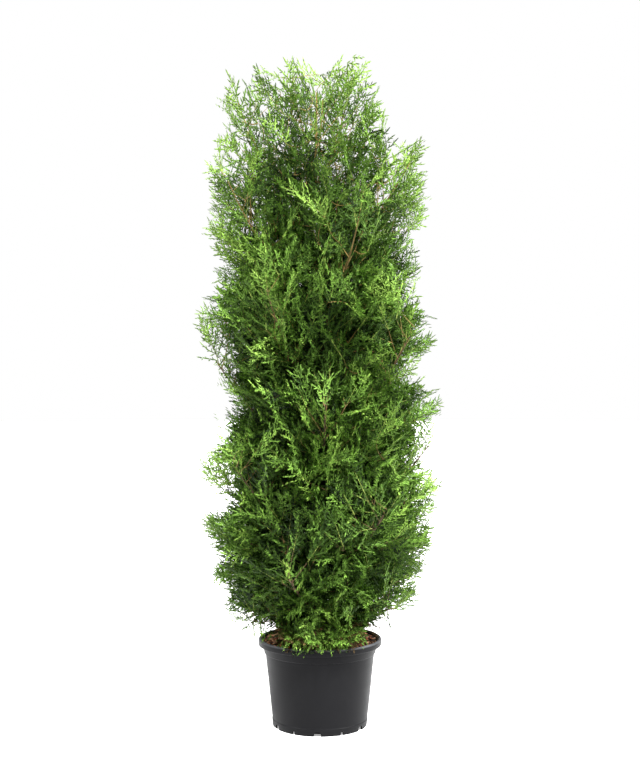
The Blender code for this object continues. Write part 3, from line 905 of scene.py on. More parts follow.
class ConiferMulch(bpy.types.Operator):
    """Lays the lumpy bed of mulch and strews its bark chips"""

    bl_idname = "conifer.mulch"
    bl_label = "Mulch"

    def execute(self, context):
        settings = context.scene.conifer_mulch
        bed = mesh_from(mulch_bed(), "mulch_bed", MULCH_SHARP_ANGLE)
        show_mesh(bed, "mulch_bed", mulch_finish("mulch_bed", MULCH_COLOUR), ["soil"])
        for name, colour in CHIP_COLOURS.items():
            draw = random.Random(f"{SEED}-{name}")
            chips = joined([chip(draw, settings.chip_length) for _ in range(settings.chips)])
            mesh = mesh_from_arrays(f"chips_{name}", *chips)
            show_mesh(mesh, f"chips_{name}", mulch_finish(f"chips_{name}", colour))
        return {"FINISHED"}


# Limbs, by the rule of the solids


def trunk_heights():
    """The heights of the rings that the trunk bends at: close in its flare and even above it."""
    flare = [TRUNK_FOOT + height for height in FLARE_RINGS]
    first = TRUNK_FOOT + FIRST_RING
    return flare + [first + (TRUNK_TOP - first) * step / (TRUNK_RINGS - 1) for step in range(TRUNK_RINGS)]


def trunk_curve(height):
    """How far the trunk's middle is off the axis at a height."""
    share = (height - TRUNK_FOOT) / (TRUNK_TOP - TRUNK_FOOT)
    kink = KINK * math.exp(-(((height - KINK_HEIGHT) / KINK_SPREAD) ** 2))
    x = SWAY * math.sin(math.tau * share) - kink - LEAN * share
    return x, SWAY * math.sin(1.4 * math.pi * share)


def unit(vector):
    """The direction of a vector, with a length of one."""
    return vector / np.linalg.norm(vector)


def across(along):
    """Two unit vectors square to a direction and to each other."""
    first = np.cross(along, UP)
    if np.linalg.norm(first) < 1e-3:
        first = np.array([1.0, 0.0, 0.0])
    first = unit(first)
    return first, unit(np.cross(along, first))


def trunk_centre(height):
    """The trunk's middle at a height, along straight lines between its rings."""
    heights = trunk_heights()
    sways = [trunk_curve(ring) for ring in heights]
    return np.array([float(np.interp(height, heights, side)) for side in zip(*sways)] + [height])


def trunk_radius(height):
    """The trunk's radius at a height, with the flare of its foot."""
    share = (height - TRUNK_FOOT) / (TRUNK_TOP - TRUNK_FOOT)
    taper = TRUNK_TIP_RADIUS + (TRUNK_RADIUS - TRUNK_TIP_RADIUS) * max(1 - share, 0.0) ** TRUNK_TAPER
    return taper + FLARE * math.exp(-(height - TRUNK_FOOT) / FLARE_HEIGHT)


def outline_reach(height, azimuth, outline=CROWN_OUTLINE):
    """How far the crown reaches from its axis at a height, in one direction."""
    heights, lefts, rights = zip(*outline)
    left = float(np.interp(height, heights, lefts))
    right = float(np.interp(height, heights, rights))
    side = math.cos(azimuth)
    depth = DEPTH_SHARE * 0.5 * (left + right)
    return (right if side > 0 else left) * side**2 + depth * math.sin(azimuth) ** 2


def curve_point(path, share):
    """The point at a share of a curve, which starts and ends on its first and last points."""
    start, bend, tip = path
    return start * (1 - share) ** 2 + bend * 2 * share * (1 - share) + tip * share**2


def cut_curve(path, share):
    """The first part of a curve, up to a share of it."""
    return path[0], path[0] + (path[1] - path[0]) * share, curve_point(path, share)


def curve_direction(path, share):
    """The way that a curve runs at a share of it."""
    start, bend, tip = path
    return unit((bend - start) * (1 - share) + (tip - bend) * share)


def bough_path(index):
    """The path of a side bough, out of the trunk to the crown's outline, counted from the lowest."""
    share = index / (BOUGH_COUNT - 1)
    height = LOWEST_TIP + (HIGHEST_TIP - LOWEST_TIP) * share
    azimuth = FIRST_AZIMUTH + index * GOLDEN_ANGLE
    reach = outline_reach(height, azimuth)
    rise = MOST_RISE * (1 - math.exp(-(height - LOWEST_TIP) / RISE_SCALE))
    outward = np.array([math.cos(azimuth), math.sin(azimuth), 0.0])
    start = trunk_centre(max(height - rise, CROWN_FOOT + LOWEST_START))
    tip = outward * reach + UP * height
    bend = start + outward * reach * OUT_SHARE + UP * (LIFT + LIFT_SHARE * rise)
    return start, bend, tip


def leader_path(tip, leaves_at):
    """The path of a leading shoot, from the height that it leaves the trunk at to its tip."""
    start = trunk_centre(leaves_at)
    end = np.array(tip)
    out = np.array([end[0] - start[0], end[1] - start[1], 0.0])
    bend = start + out * LEADER_OUT + UP * LEADER_LIFT * (end[2] - start[2])
    return start, bend, end


def crown_paths():
    """The path of every limb: the side limbs from the lowest up, then the leaders."""
    sides = [bough_path(index) for index in range(BOUGH_COUNT)]
    return sides + [leader_path(tip, leaves_at) for tip, leaves_at in LEADERS]


def limb_radius(path, share):
    """The radius of a limb at a share of its path."""
    base = min(BOUGH_RADIUS, MOST_OF_TRUNK * trunk_radius(path[0][2]))
    if share < BOUGH_END:
        return base * (1 + (BOUGH_TAPER - 1) * share / BOUGH_END)
    span = min((share - BOUGH_END) / (STEM_END - BOUGH_END), 1.0)
    return base * BOUGH_TAPER * (1 + (STEM_TAPER - 1) * span)


def furrow(point, radius, depth):
    """How far bark stands out or in at a point: long strips, and a few knots."""
    strips = noise.noise(Vector((point.x * STRIP_PITCH, point.y * STRIP_PITCH, point.z * STRIP_PITCH_UP)))
    knots = noise.noise(point * KNOT_PITCH)
    return depth * (0.75 * strips + 0.35 * knots) * min(radius / USUAL_RADIUS, MOST_RELIEF)


def limb_shape(centres, radii, sides, relief):
    """A straight tube of one ring for each centre, bent along the centres, with the bark pressed into it."""
    shape = bmesh.new()
    bmesh.ops.create_circle(shape, cap_ends=False, segments=sides, radius=1.0)
    first = list(shape.edges)
    steps = len(centres) - 1
    spun = bmesh.ops.spin(
        shape,
        geom=first,
        cent=(0, 0, 0),
        axis=(0, 0, 1),
        dvec=(0, 0, 1),
        angle=0.0,
        steps=steps,
        use_merge=False,
    )
    last = [item for item in spun["geom_last"] if isinstance(item, bmesh.types.BMEdge)]
    bmesh.ops.contextual_create(shape, geom=first)
    bmesh.ops.contextual_create(shape, geom=last)
    middles = [Vector(centre) for centre in centres]
    turns = []
    for index in range(steps + 1):
        along = middles[min(index + 1, steps)] - middles[max(index - 1, 0)]
        turns.append(along.to_track_quat("Z", "Y"))
    for corner in shape.verts:
        ring = round(corner.co.z)
        outward = turns[ring] @ Vector((corner.co.x, corner.co.y, 0.0))
        point = middles[ring] + outward * radii[ring]
        corner.co = point + outward * furrow(point, radii[ring], relief)
    return shape


class ConiferBark(bpy.types.Operator):
    """Grows the trunk and its boughs with the bark's relief"""

    bl_idname = "conifer.bark"
    bl_label = "Trunk and boughs"

    def execute(self, context):
        settings = context.scene.conifer_bark
        count = round((TRUNK_TOP - TRUNK_FOOT) / TRUNK_RING_PITCH)
        heights = [TRUNK_FOOT + (TRUNK_TOP - TRUNK_FOOT) * step / count for step in range(count + 1)]
        centres = [trunk_centre(height) for height in heights]
        radii = [trunk_radius(height) for height in heights]
        shape = limb_shape(centres, radii, TRUNK_SIDES, settings.relief)
        trunk = mesh_from(shape, "trunk_bark", BARK_SHARP_ANGLE)
        show_mesh(trunk, "trunk_bark", bark_finish("trunk_bark", settings), ["trunk"])
        boughs = bmesh.new()
        for path in crown_paths():
            length = sum(np.linalg.norm(after - before) for before, after in zip(path, path[1:]))
            steps = round(BARK_END * length / BOUGH_RING_PITCH)
            shares = [BARK_END * step / steps for step in range(steps + 1)]
            centres = [curve_point(path, share) for share in shares]
            radii = [limb_radius(path, share) for share in shares]
            limb = mesh_from(limb_shape(centres, radii, BOUGH_SIDES, settings.relief), "limb")
            boughs.from_mesh(limb)
            bpy.data.meshes.remove(limb)
        mesh = mesh_from(boughs, "bough_bark", BARK_SHARP_ANGLE)
        show_mesh(mesh, "bough_bark", bark_finish("bough_bark", settings), BOUGH_NODES)
        return {"FINISHED"}


# Twigs and sprays


def read_off(rows, place):
    """The value at a place, along straight lines between rows of places and values."""
    return float(np.interp(place, *rows))


def turned_from(along, roll, pitch):
    """A direction that leaves another at a pitch, turned round it by a roll."""
    first, second = across(along)
    side = first * math.cos(roll) + second * math.sin(roll)
    return unit(along * math.cos(pitch) + side * math.sin(pitch))


def depth_at(point):
    """How far a point is inside the outline of the leaves."""
    reach = outline_reach(point[2], math.atan2(point[1], point[0]), LEAF_OUTLINE)
    return min(reach - math.hypot(point[0], point[1]), read_off(TIP_ROWS, point[0]) - point[2])


def hollow_at(point):
    """How deep the leafy surface is dented at a point."""
    return HOLLOW_DEPTH * max(noise.noise(Vector(point) * HOLLOW_PITCH + Vector(HOLLOW_SHIFT)), 0.0)


def lowest_at(point):
    """The height that foliage keeps above: over the mulch, over the rim and beside the pot, and higher to
    the left and the right, where the mulch shows."""
    radius = math.hypot(point[0], point[1])
    lowest = (read_off(LOWEST_MIDDLE, radius), read_off(LOWEST_SIDES, radius))
    return read_off((MIDDLE_TO_SIDES, lowest), abs(point[0]))


def in_clearing(point):
    """Whether a point is in one of the gaps that the sky shows through."""
    return any(math.hypot(point[0] - x, point[2] - z) < radius for x, z, radius in CLEARINGS)


def outside_box(corners):
    """Whether any corner stands further out of the solids' box than leaves may."""
    low, high = np.array(CAD_LOW) - OVERHANG, np.array(CAD_HIGH) + OVERHANG
    return bool((corners < low).any() or (corners > high).any())


def kept_inside(base, along, length, lift, slack):
    """Leans a shoot inwards and shortens it until it keeps to the crown's outline."""
    least = LEAST_SHARE * length
    while length > least:
        tip = base + (along + UP * lift) * length
        low = lowest_at(tip) > tip[2]
        if not low and depth_at(tip) + slack > hollow_at(tip):
            return along, length
        inward = unit(np.array([-tip[0], -tip[1], 0.0])) * read_off(LEAN_IN, tip[2])
        along = unit(along + (UP * RAISE if low else inward))
        length *= SHORTEN
    return None


def spacing_at(point):
    """How far apart the middles of sprays keep: wider at the crown's open top, and at its very edge."""
    edge = (EDGE_DEPTHS, (read_off(EDGE_SPACING, point[2]), 0.0))
    return read_off(SPACING, point[2]) + read_off(edge, depth_at(point))


def strayed(draw, stray):
    """A small random step in any direction."""
    return np.array([draw.gauss(0, stray) for _ in range(3)])


class Places:
    """Points in a grid of cells, to tell quickly whether any lies near a place."""

    def __init__(self, cell):
        self.cell = cell
        self.cells = {}

    def key(self, point):
        """The cell that a point is in."""
        return tuple(int(side // self.cell) for side in point)

    def add(self, point):
        """Keeps a point."""
        self.cells.setdefault(self.key(point), []).append(point)

    def near(self, point, distance):
        """Whether a kept point is nearer than a distance."""
        x, y, z = self.key(point)
        steps = range(-math.ceil(distance / self.cell), math.ceil(distance / self.cell) + 1)
        for cell in ((x + i, y + j, z + k) for i in steps for j in steps for k in steps):
            for other in self.cells.get(cell, ()):
                if math.dist(point, other) < distance:
                    return True
        return False


class Crown:
    """All that grows on the limbs: twigs as paths with a radius, and sprays as places and turns."""

    def __init__(self, settings):
        self.settings = settings
        self.twigs = []
        self.sprays = []
        self.middles = Places(0.03)
        self.buds = np.empty((0, 3))

    def spray(self, base, along, size, draw, room=None, slack=SPRAY_SLACK):
        """Puts one spray on a shoot, if there is room for it."""
        lift = SPRAY_LIFT * read_off(UPTURN, base[2]) + draw.gauss(0.0, SPRAY_LIFT_STRAY)
        slack = draw.gauss(slack, SLACK_STRAY)
        kept = kept_inside(base, along, self.settings.spray_length * size, lift, slack)
        if kept is None:
            return False
        along, length = kept
        middle = base + along * length * 0.5
        if self.middles.near(middle, spacing_at(middle) if room is None else room):
            return False
        self.middles.add(middle)
        upright = 0.5 * math.pi if draw.random() < read_off(UPRIGHT_SHARE, base[2]) else 0.0
        twist = draw.gauss(upright, UPRIGHT_STRAY)
        first, second = across(along)
        flat = first * math.cos(twist) + second * math.sin(twist)
        patch = noise.noise(Vector(middle) * PATCH_PITCH + Vector(PATCH_SHIFT))
        # The tone holds painted light: lighter on the flanks, and in part by height
        tone = read_off(TONE, base[2]) + read_off(FLANK_PAINTED_LIGHT, base[0])
        tone += PATCH_TONE * patch + draw.gauss(0.0, SPRAY_TONE_STRAY)
        self.sprays.append((base, along, flat, length, lift, tone))
        return True

    def twig(self, base, along, size, draw):
        """Grows one curved twig with a spray at its tip and others on alternate sides."""
        length = self.settings.twig_length * size
        upturn = read_off(UPTURN, base[2])
        kept = kept_inside(base, along, length, TWIG_BEND * upturn, TWIG_SLACK)
        if kept is None:
            return
        along, length = kept
        lift = UP * upturn * TWIG_BEND * length
        path = (base, base + along * length * 0.5 - lift * 0.2, base + along * length + lift)
        twist = draw.uniform(0, math.tau)
        end, aim = curve_point(path, TIP_SHARE), curve_direction(path, 1.0)
        last = TIP_SHARE if self.spray(end, aim, draw.uniform(*TIP_SIZES), draw) else 0.0
        count = self.settings.side_sprays
        for index in range(count):
            share = FIRST_SIDE_SPRAY + SIDE_SPRAY_SPAN * index / max(count - 1, 1)
            roll = twist + math.pi * (index % 2) + draw.uniform(-SIDE_SPRAY_ROLL, SIDE_SPRAY_ROLL)
            pitch = SIDE_SPRAY_TURN * draw.uniform(*SIDE_SPRAY_TURNS)
            aim = turned_from(curve_direction(path, share), roll, pitch)
            aim = unit(aim + UP * upturn * 0.5)
            size = (SIDE_SPRAY_SIZE - SIDE_SPRAY_SHRINK * share) * draw.uniform(*USUAL_SIZES)
            if self.spray(curve_point(path, share), aim, size, draw):
                last = max(last, share)
        if last > 0:
            path = cut_curve(path, last)
            self.twigs.append((path, TWIG_RADIUS * length / self.settings.twig_length))
            self.bud(curve_point(path, share) for share in (0.3, 0.6, 0.9))

    def limb(self, path, draw):
        """Clothes one limb, from near the trunk to its tip."""
        self.bud(curve_point(path, 0.1 + 0.85 * step / 20) for step in range(21))
        self.spray(curve_point(path, BARK_END - 0.04), curve_direction(path, 1.0), 1.1, draw, 0.0)
        roll = draw.uniform(0, math.tau)
        count = self.settings.twigs
        for index in range(count):
            step = index / (count - 1)
            share = FIRST_TWIG + (LAST_TWIG - FIRST_TWIG) * step
            pitch = TWIG_PITCH * draw.uniform(*TWIG_PITCHES)
            along = turned_from(curve_direction(path, share), roll, pitch)
            base = curve_point(path, share)
            along = unit(along + UP * read_off(UPTURN, base[2]))
            self.twig(base, along, (1.0 - TWIG_SHRINK * step) * draw.uniform(*TWIG_SIZES), draw)
            roll += GOLDEN_ANGLE
        count = self.settings.stem_sprays
        for index in range(count):
            share = FIRST_STEM_SPRAY + (LAST_TWIG - FIRST_STEM_SPRAY) * (index + 0.5) / count
            along = turned_from(curve_direction(path, share), roll, STEM_SPRAY_PITCH)
            base = curve_point(path, share)
            self.spray(base, unit(along + UP * read_off(UPTURN, base[2])), draw.uniform(*USUAL_SIZES), draw)
            roll += GOLDEN_ANGLE

    def crest(self, draw):
        """Puts a tuft of sprays on the trunk's tip."""
        tip = trunk_centre(TRUNK_TOP - 0.012)
        for index in range(CREST_SPRAYS):
            aim = turned_from(UP, GOLDEN_ANGLE * index, 0.15 + 0.12 * index)
            self.spray(tip - UP * 0.008 * index, aim, 1.2 - 0.08 * index, draw, 0.0)

    def bud(self, points):
        """Keeps points of the wood that more twigs may grow from."""
        self.buds = np.vstack([self.buds, *points])

    def reach_for(self, place, aim, size, draw, room=None, slack=SPRAY_SLACK):
        """Puts a spray round a place, on a twig from the nearest bud behind it."""
        base = place - aim * 0.5 * size * self.settings.spray_length
        if lowest_at(base) > base[2]:
            return
        distances = np.linalg.norm(self.buds - (base - aim * BUD_BACK), axis=1)
        nearest = np.argmin(distances)
        bud, distance = self.buds[nearest], distances[nearest]
        if distance > LONGEST_FILL or np.dot(unit(base - bud), aim) < STRAIGHTEST:
            return
        if self.spray(base, aim, size, draw, room, slack):
            path = (bud, base - aim * 0.4 * (distance + BUD_BACK), base + aim * 0.006)
            self.twigs.append((path, TWIG_RADIUS * FILL_TWIG_RADIUS))
            self.bud((curve_point(path, 0.6), base))

    def tuft(self, side, height, draw):
        """Grows a few sprays that stand out of the crown together."""
        spread = math.copysign(read_off(TUFT_SPREAD, height), side)
        room = read_off(TUFT_SPACING, height)
        rise = FILL_RISE + read_off(UPTURN, height)
        for _ in range(TUFT_TRIALS):
            aim = unit(np.array([spread, 0.0, rise]) + strayed(draw, TUFT_STRAY))
            size = draw.uniform(*TUFT_SIZES)
            tip = np.array([side, draw.uniform(*TUFT_FRONTS), height - draw.uniform(*TUFT_DROP)])
            place = tip - aim * (0.5 * size * self.settings.spray_length + draw.uniform(*TUFT_INSET))
            self.reach_for(place, aim, size, draw, room, TUFT_SLACK)

    def fill(self, lowest, highest, trials, draw):
        """Grows sprays into the places of the crown that are still bare."""
        for _ in range(trials):
            height = draw.uniform(lowest, highest)
            azimuth = draw.uniform(0, math.tau)
            reach = outline_reach(height, azimuth) - draw.uniform(*FILL_INSET)
            outward = np.array([math.cos(azimuth), math.sin(azimuth), 0.0])
            place = outward * reach * draw.uniform(*FILL_REACH) ** 0.5 + UP * height
            if self.middles.near(place, spacing_at(place)):
                continue
            stray = strayed(draw, FILL_STRAY)
            rise = FILL_RISE + read_off(UPTURN, height)
            aim = unit(outward * read_off(FILL_SPREAD, height) + UP * rise + stray)
            self.reach_for(place, aim, draw.uniform(*FILL_SIZES), draw)

    def skirt(self, trials, draw):
        """Hangs sprays over the mulch and the pot's rim, at the front and the back."""
        for _ in range(trials):
            side = draw.uniform(-SKIRT_HALF, SKIRT_HALF)
            radius = draw.uniform(*SKIRT_RADII)
            if abs(side) > radius:
                continue
            front = math.copysign(math.sqrt(radius**2 - side**2), draw.uniform(-1.0, 1.0))
            place = np.array([side, front, draw.uniform(*SKIRT_HEIGHTS)])
            outward = unit(place * (0.3, 1.0, 0.0))
            fall = UP * draw.uniform(*SKIRT_FALLS)
            aim = unit(outward + fall + across(outward)[0] * draw.gauss(0, SKIRT_STRAY))
            self.reach_for(place, aim, draw.uniform(*SKIRT_SIZES), draw, SKIRT_SPACING)

    def trim(self):
        """Takes out the sprays that hang down at the very top, and the twigs that end in them."""
        hangs = [base[2] > RISING_FROM and along[2] < LEAST_RISE for base, along, *_ in self.sprays]
        ends = [spray[0] for spray, out in zip(self.sprays, hangs) if out]
        self.sprays = [spray for spray, out in zip(self.sprays, hangs) if not out]
        self.twigs = [
            (path, radius)
            for path, radius in self.twigs
            if all(math.dist(path[-1], end) > TWIG_NEAR for end in ends)
        ]


# Crowns that were grown already, by their settings, because the twigs and the sprays need the same one
GROWN = {}


def grown_crown(settings):
    """Grows the crown, or gives the one that was grown before with the same settings."""
    key = tuple(getattr(settings, name) for name in settings.__annotations__)
    if key not in GROWN:
        crown = Crown(settings)
        for number, path in enumerate(crown_paths()):
            crown.limb(path, random.Random(f"{SEED}-{number}"))
        draw = random.Random(f"{SEED}-fill")
        for side, height in TUFTS:
            crown.tuft(side, height, draw)
        crown.crest(draw)
        crown.fill(CROWN_FOOT, CAD_HIGH.z, settings.fill_trials, draw)
        crown.skirt(settings.fill_trials // 3, draw)
        crown.trim()
        GROWN[key] = crown
    return GROWN[key]


def twig_tube(path, radius, steps=6, sides=4):
    """A tapering tube along a curve, closed at its tip by a point."""
    rings = []
    for step in range(steps):
        share = step / steps
        first, second = across(curve_direction(path, share))
        middle, width = curve_point(path, share), radius * (1 - TWIG_TAPER * share)
        for side in range(sides):
            angle = math.tau * side / sides
            rings.append(middle + (first * math.cos(angle) + second * math.sin(angle)) * width)
    corners = np.array([*rings, curve_point(path, 1.0)])
    triangles = []
    for step in range(steps):
        for side in range(sides):
            low, other = step * sides + side, step * sides + (side + 1) % sides
            if step == steps - 1:
                triangles.append((low, other, len(corners) - 1))
            else:
                triangles += [(low, other, other + sides), (low, other + sides, low + sides)]
    return corners, np.array(triangles)


class ConiferTwigs(bpy.types.Operator):
    """Grows the twigs that carry the sprays"""

    bl_idname = "conifer.twigs"
    bl_label = "Twigs"

    def execute(self, context):
        crown = grown_crown(context.scene.conifer_foliage)
        settings = context.scene.conifer_bark
        tubes = {"twigs": [twig_tube(*twig) for twig in crown.twigs], "stalks_brown": [], "stalks_green": []}
        for base, along, _, length, lift, _ in crown.sprays:
            tip = base + (along * STALK_SHARE + UP * lift * STALK_LIFT) * length
            if in_clearing(tip):
                continue
            path = (base, base + along * (0.5 * STALK_SHARE) * length, tip)
            kind = "stalks_green" if depth_at(tip) < BROWN_STALK_FROM else "stalks_brown"
            tubes[kind].append(twig_tube(path, STALK_RADIUS, 3, 3))
        for name, made in tubes.items():
            green = name == "stalks_green"
            surface = leaf_finish(name, STALK_GREEN) if green else bark_finish(name, settings)
            mesh = mesh_from_arrays(name, *joined(made))
            mesh.shade_smooth()
            show_mesh(mesh, name, surface, FOLIAGE_NODES)
        return {"FINISHED"}


def leaf_array(leaves, draw):
    """Makes each (x, y, z, heading, length, width, stray) row a folded leaf of two triangles."""
    rows = np.array(leaves)
    start, heading, length, width = rows[:, :3], rows[:, 3], rows[:, 4:5], rows[:, 5:6]
    along = np.stack([np.cos(heading), np.sin(heading), np.zeros_like(heading)], axis=1)
    beside = np.stack([-np.sin(heading), np.cos(heading), np.zeros_like(heading)], axis=1)
    tilt = UP * np.array([[draw.uniform(-1.0, 1.0) * stray] for stray in rows[:, 6]]) * length
    middle = start + along * length * 0.45 + tilt * 0.45 - UP * width * FOLD
    sides = [middle + beside * width / 2, middle - beside * width / 2]
    corners = np.stack([start, sides[0], start + along * length + tilt, sides[1]], axis=1)
    first = 4 * np.arange(len(leaves))[:, None]
    triangles = np.concatenate([first + (0, 2, 1), first + (0, 3, 2)])
    return corners.reshape(-1, 3), triangles


def spray_branch(x, y, heading, side, reach, lobes, draw):
    """One branch of a spray: a leaf of the axis, strips with lobes on alternate sides, and a last lobe."""
    pitch, lobe_length, lobe_width, lobe_stray = lobes
    rise = draw.gauss(0, BRANCH_RISE_STRAY)
    curl = draw.uniform(*BRANCH_CURLS)
    leaves = [(x - AXIS_LEAF_BACK, y, 0.0, 0.0, AXIS_LEAF, lobe_width * 0.8, AXIS_STRAY)]
    travelled = 0.0
    lobe = side
    while travelled < reach:
        small = 1 - LOBE_SHRINK * travelled / reach
        turn = heading + lobe * LOBE_ANGLE * draw.uniform(*LOBE_ANGLES)
        size = lobe_length * small * draw.uniform(*LOBE_SIZES)
        leaves.append((x, y, rise * travelled, turn, size, lobe_width * small, lobe_stray))
        leaves.append((x, y, rise * travelled, heading, pitch * 2.1, lobe_width * 0.95, AXIS_STRAY))
        heading -= side * curl + draw.gauss(0, HEADING_STRAY)
        x += pitch * math.cos(heading)
        y += pitch * math.sin(heading)
        travelled += pitch
        lobe = -lobe
    leaves.append((x, y, rise * travelled, heading, lobe_length * 0.7, lobe_width * 0.7, AXIS_STRAY))
    return leaf_array(leaves, draw)


def spray_pattern(length, make, draw):
    """One flat spray of a length as a list of its branches, which stand alternately along its waved axis."""
    branch_pitch, *lobes = make
    branches = []
    wave = draw.uniform(*AXIS_WAVES) * length
    phase = draw.uniform(0, math.tau)
    count = round(0.92 * length / branch_pitch)
    for step in range(count):
        share = 0.07 + 0.90 * (step + draw.uniform(-0.25, 0.25)) / count
        side = 1 if step % 2 else -1
        swell = min(0.45 + share / 0.20, 1.0) * (1 - share) ** 0.75
        reach = BRANCH_REACH * length * swell * draw.uniform(*BRANCH_SIZES) + LEAST_BRANCH
        heading = side * (BRANCH_ANGLE - 0.25 * share) + draw.gauss(0, BRANCH_ANGLE_STRAY)
        y = wave * (math.sin(phase + 4.0 * share) - math.sin(phase))
        branches.append(spray_branch(share * length, y, heading, side, reach, lobes, draw))
    return branches


def spray_patterns():
    """The patterns that sprays are copies of: several of each make and length."""
    draw = random.Random(f"{SEED}-patterns")
    patterns = {}
    for name, make in MAKES.items():
        patterns[name] = {
            length: [spray_pattern(length, make, draw) for _ in range(PATTERNS_EACH)]
            for length in PATTERN_LENGTHS
        }
    return patterns


def make_at(middle):
    """The make of a spray, by where its middle is."""
    if middle[2] > OPEN_FROM:
        return "open"
    return "broad" if depth_at(middle) > BROAD_FROM else "fine"


def placed_spray(patterns, base, along, flat, length, lift, draw):
    """The branches of a pattern of about the right length, turned to its shoot and bent up or down."""
    patterns = patterns[make_at(base + along * length * 0.5)]
    nearest = min(patterns, key=lambda pattern_length: abs(pattern_length - length))
    turn = np.stack([along, flat, np.cross(along, flat)]) * length / nearest
    placed = []
    for corners, triangles in draw.choice(patterns[nearest]):
        share = np.clip(corners[:, :1] / nearest, 0, None)
        placed.append((base + corners @ turn + share**2 * lift * length * UP, triangles))
    return placed


def green_of(tone):
    """The kind of green that a tone is dealt."""
    return next((kind for kind, edge in GREEN_BELOW.items() if tone < edge), "fresh")


class ConiferSprays(bpy.types.Operator):
    """Clothes the twigs with sprays, each kind of green apart"""

    bl_idname = "conifer.sprays"
    bl_label = "Sprays"

    def execute(self, context):
        draw = random.Random(f"{SEED}-sprays")
        patterns = spray_patterns()
        crown = grown_crown(context.scene.conifer_foliage)
        kinds = {kind: [] for kind in GREENS}
        for *place, tone in crown.sprays:
            old = place[0][2] < BRONZE_BELOW and draw.random() < BRONZE_SHARE
            for branch in placed_spray(patterns, *place, draw):
                corners = branch[0]
                if in_clearing(corners[0]) or in_clearing(corners[-1]) or outside_box(corners):
                    continue
                # Painted shade: branches deeper in the crown are dealt darker greens
                depth = max(depth_at(corners[-1]), 0.0)
                darker = DEPTH_SHADE * (1.0 - math.exp(-depth / DEPTH_SHADE_SCALE))
                darker *= read_off(DEPTH_SHADE_SHARE, corners[0][2])
                kind = green_of(tone - darker + draw.gauss(0.0, BRANCH_TONE_STRAY))
                kinds["bronze" if old else kind].append(branch)
        for kind, made in kinds.items():
            colour, slot = GREENS[kind]
            surface = leaf_finish(f"leaf_{kind}", colour)
            total = sum(len(triangles) for _, triangles in made)
            parts = max(math.ceil(total / LARGEST_PIECE), 1)
            for part in range(parts):
                name = f"sprays_{kind}_{part + 1}"
                mesh = mesh_from_arrays(name, *joined(made[part::parts]))
                show_mesh(mesh, name, surface, FOLIAGE_NODES)
        return {"FINISHED"}


# Stage


def soft_sun(name, place, angle, energy):
    """A broad, even light that shines from a direction."""
    light = bpy.data.lights.new(name, "SUN")
    light.angle = math.radians(angle)
    light.energy = energy
    lamp = bpy.data.objects.new(name, light)
    lamp.location = place
    lamp.rotation_euler = (-Vector(place)).to_track_quat("-Z", "Y").to_euler()
    bpy.context.scene.collection.objects.link(lamp)


def studio_world():
    """A white surround that lights the plant less than it shows."""
    world = bpy.data.worlds.new("studio")
    world.use_nodes = True
    tree = world.node_tree
    background = tree.nodes["Background"]
    background.inputs["Color"].default_value = (1.0, 1.0, 1.0, 1.0)
    seen = add_node(tree, "ShaderNodeLightPath", output="Is Camera Ray")
    way = {"Vector": add_node(tree, "ShaderNodeTexCoord", output="Generated")}
    below = (add_node(tree, "ShaderNodeSeparateXYZ", inputs=way, output="Z") * -2.0).above(0.0, 1.0)
    behind = (add_node(tree, "ShaderNodeSeparateXYZ", inputs=way, output="Y") + 0.3).above(0.0, 0.8)
    light = below * FLOOR_GLOW + behind * BACK_GLOW + AMBIENT
    tree.links.new((seen * (1.0 - light) + light).socket, background.inputs["Strength"])
    return world


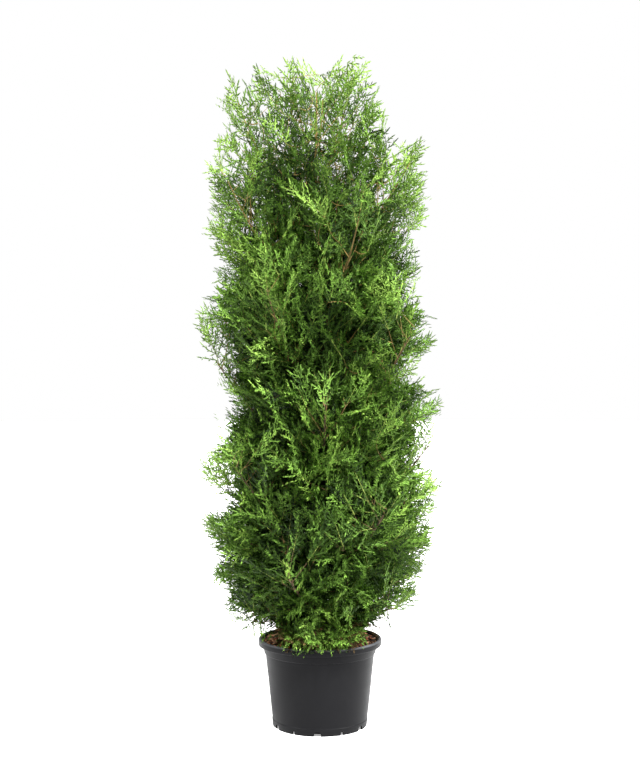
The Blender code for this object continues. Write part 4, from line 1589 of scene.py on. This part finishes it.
class ConiferStage(bpy.types.Operator):
    """Sets the floor, the soft lights and the camera"""

    bl_idname = "conifer.stage"
    bl_label = "Stage"

    def execute(self, context):
        settings = context.scene.conifer_stage
        floor_shape = bmesh.new()
        bmesh.ops.create_circle(floor_shape, cap_ends=True, segments=96, radius=30.0)
        finish = Finish("floor", (0.86, 0.86, 0.86), 0.9)
        cloud = finish.noise(0.7, detail=2.0)
        finish.feed("Base Color", finish.blend(cloud, (0.85, 0.85, 0.85), (0.88, 0.88, 0.88)))
        finish.shader.inputs["Emission Color"].default_value = (1.0, 1.0, 1.0, 1.0)
        finish.shader.inputs["Emission Strength"].default_value = FLOOR_EMISSION
        floor = bpy.data.objects.new("floor", mesh_from(floor_shape, "floor"))
        bpy.context.scene.collection.objects.link(floor)
        floor.data.materials.append(finish.material)
        floor.visible_diffuse = False
        context.scene.world = studio_world()
        for name, sun in SUNS.items():
            soft_sun(name, *sun)
        camera_data = bpy.data.cameras.new("camera")
        camera_data.sensor_width = 36.0
        camera_data.lens = FOCAL_LENGTH_PX * camera_data.sensor_width / IMAGE_HEIGHT_PX
        camera = bpy.data.objects.new("camera", camera_data)
        camera.location = (0.0, -settings.distance, settings.height)
        camera.rotation_euler = (math.pi / 2, 0.0, 0.0)
        context.scene.collection.objects.link(camera)
        context.scene.camera = camera
        context.scene.view_settings.view_transform = "Standard"
        return {"FINISHED"}


class ConiferPanel(bpy.types.Panel):
    """Lists the steps that make the plant and what can be changed in each"""

    bl_idname = "VIEW3D_PT_conifer"
    bl_label = "Potted conifer"
    bl_space_type = "VIEW_3D"
    bl_region_type = "UI"
    bl_category = "Conifer"

    def draw(self, context):
        for operator in OPERATORS:
            self.layout.operator(operator.bl_idname)
        for name, settings in SETTINGS.items():
            box = self.layout.box()
            for value in settings.__annotations__:
                box.prop(getattr(context.scene, name), value)


OPERATORS = (ConiferStage, ConiferPot, ConiferMulch, ConiferBark, ConiferTwigs, ConiferSprays)
SETTINGS = {
    "conifer_pot": PotSettings,
    "conifer_mulch": MulchSettings,
    "conifer_bark": BarkSettings,
    "conifer_foliage": FoliageSettings,
    "conifer_stage": StageSettings,
}
CLASSES = (*SETTINGS.values(), *OPERATORS, ConiferPanel)


def register():
    """Makes the classes and their settings known."""
    for item in CLASSES:
        bpy.utils.register_class(item)
    for name, settings in SETTINGS.items():
        setattr(bpy.types.Scene, name, PointerProperty(type=settings))


def unregister():
    """Takes the settings and the classes away again."""
    for name in SETTINGS:
        delattr(bpy.types.Scene, name)
    for item in reversed(CLASSES):
        bpy.utils.unregister_class(item)


def main():
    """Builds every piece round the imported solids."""
    register()
    bpy.ops.conifer.stage()
    bpy.ops.conifer.pot()
    bpy.ops.conifer.mulch()
    bpy.ops.conifer.bark()
    bpy.ops.conifer.twigs()
    bpy.ops.conifer.sprays()


if __name__ == "__main__":
    main()
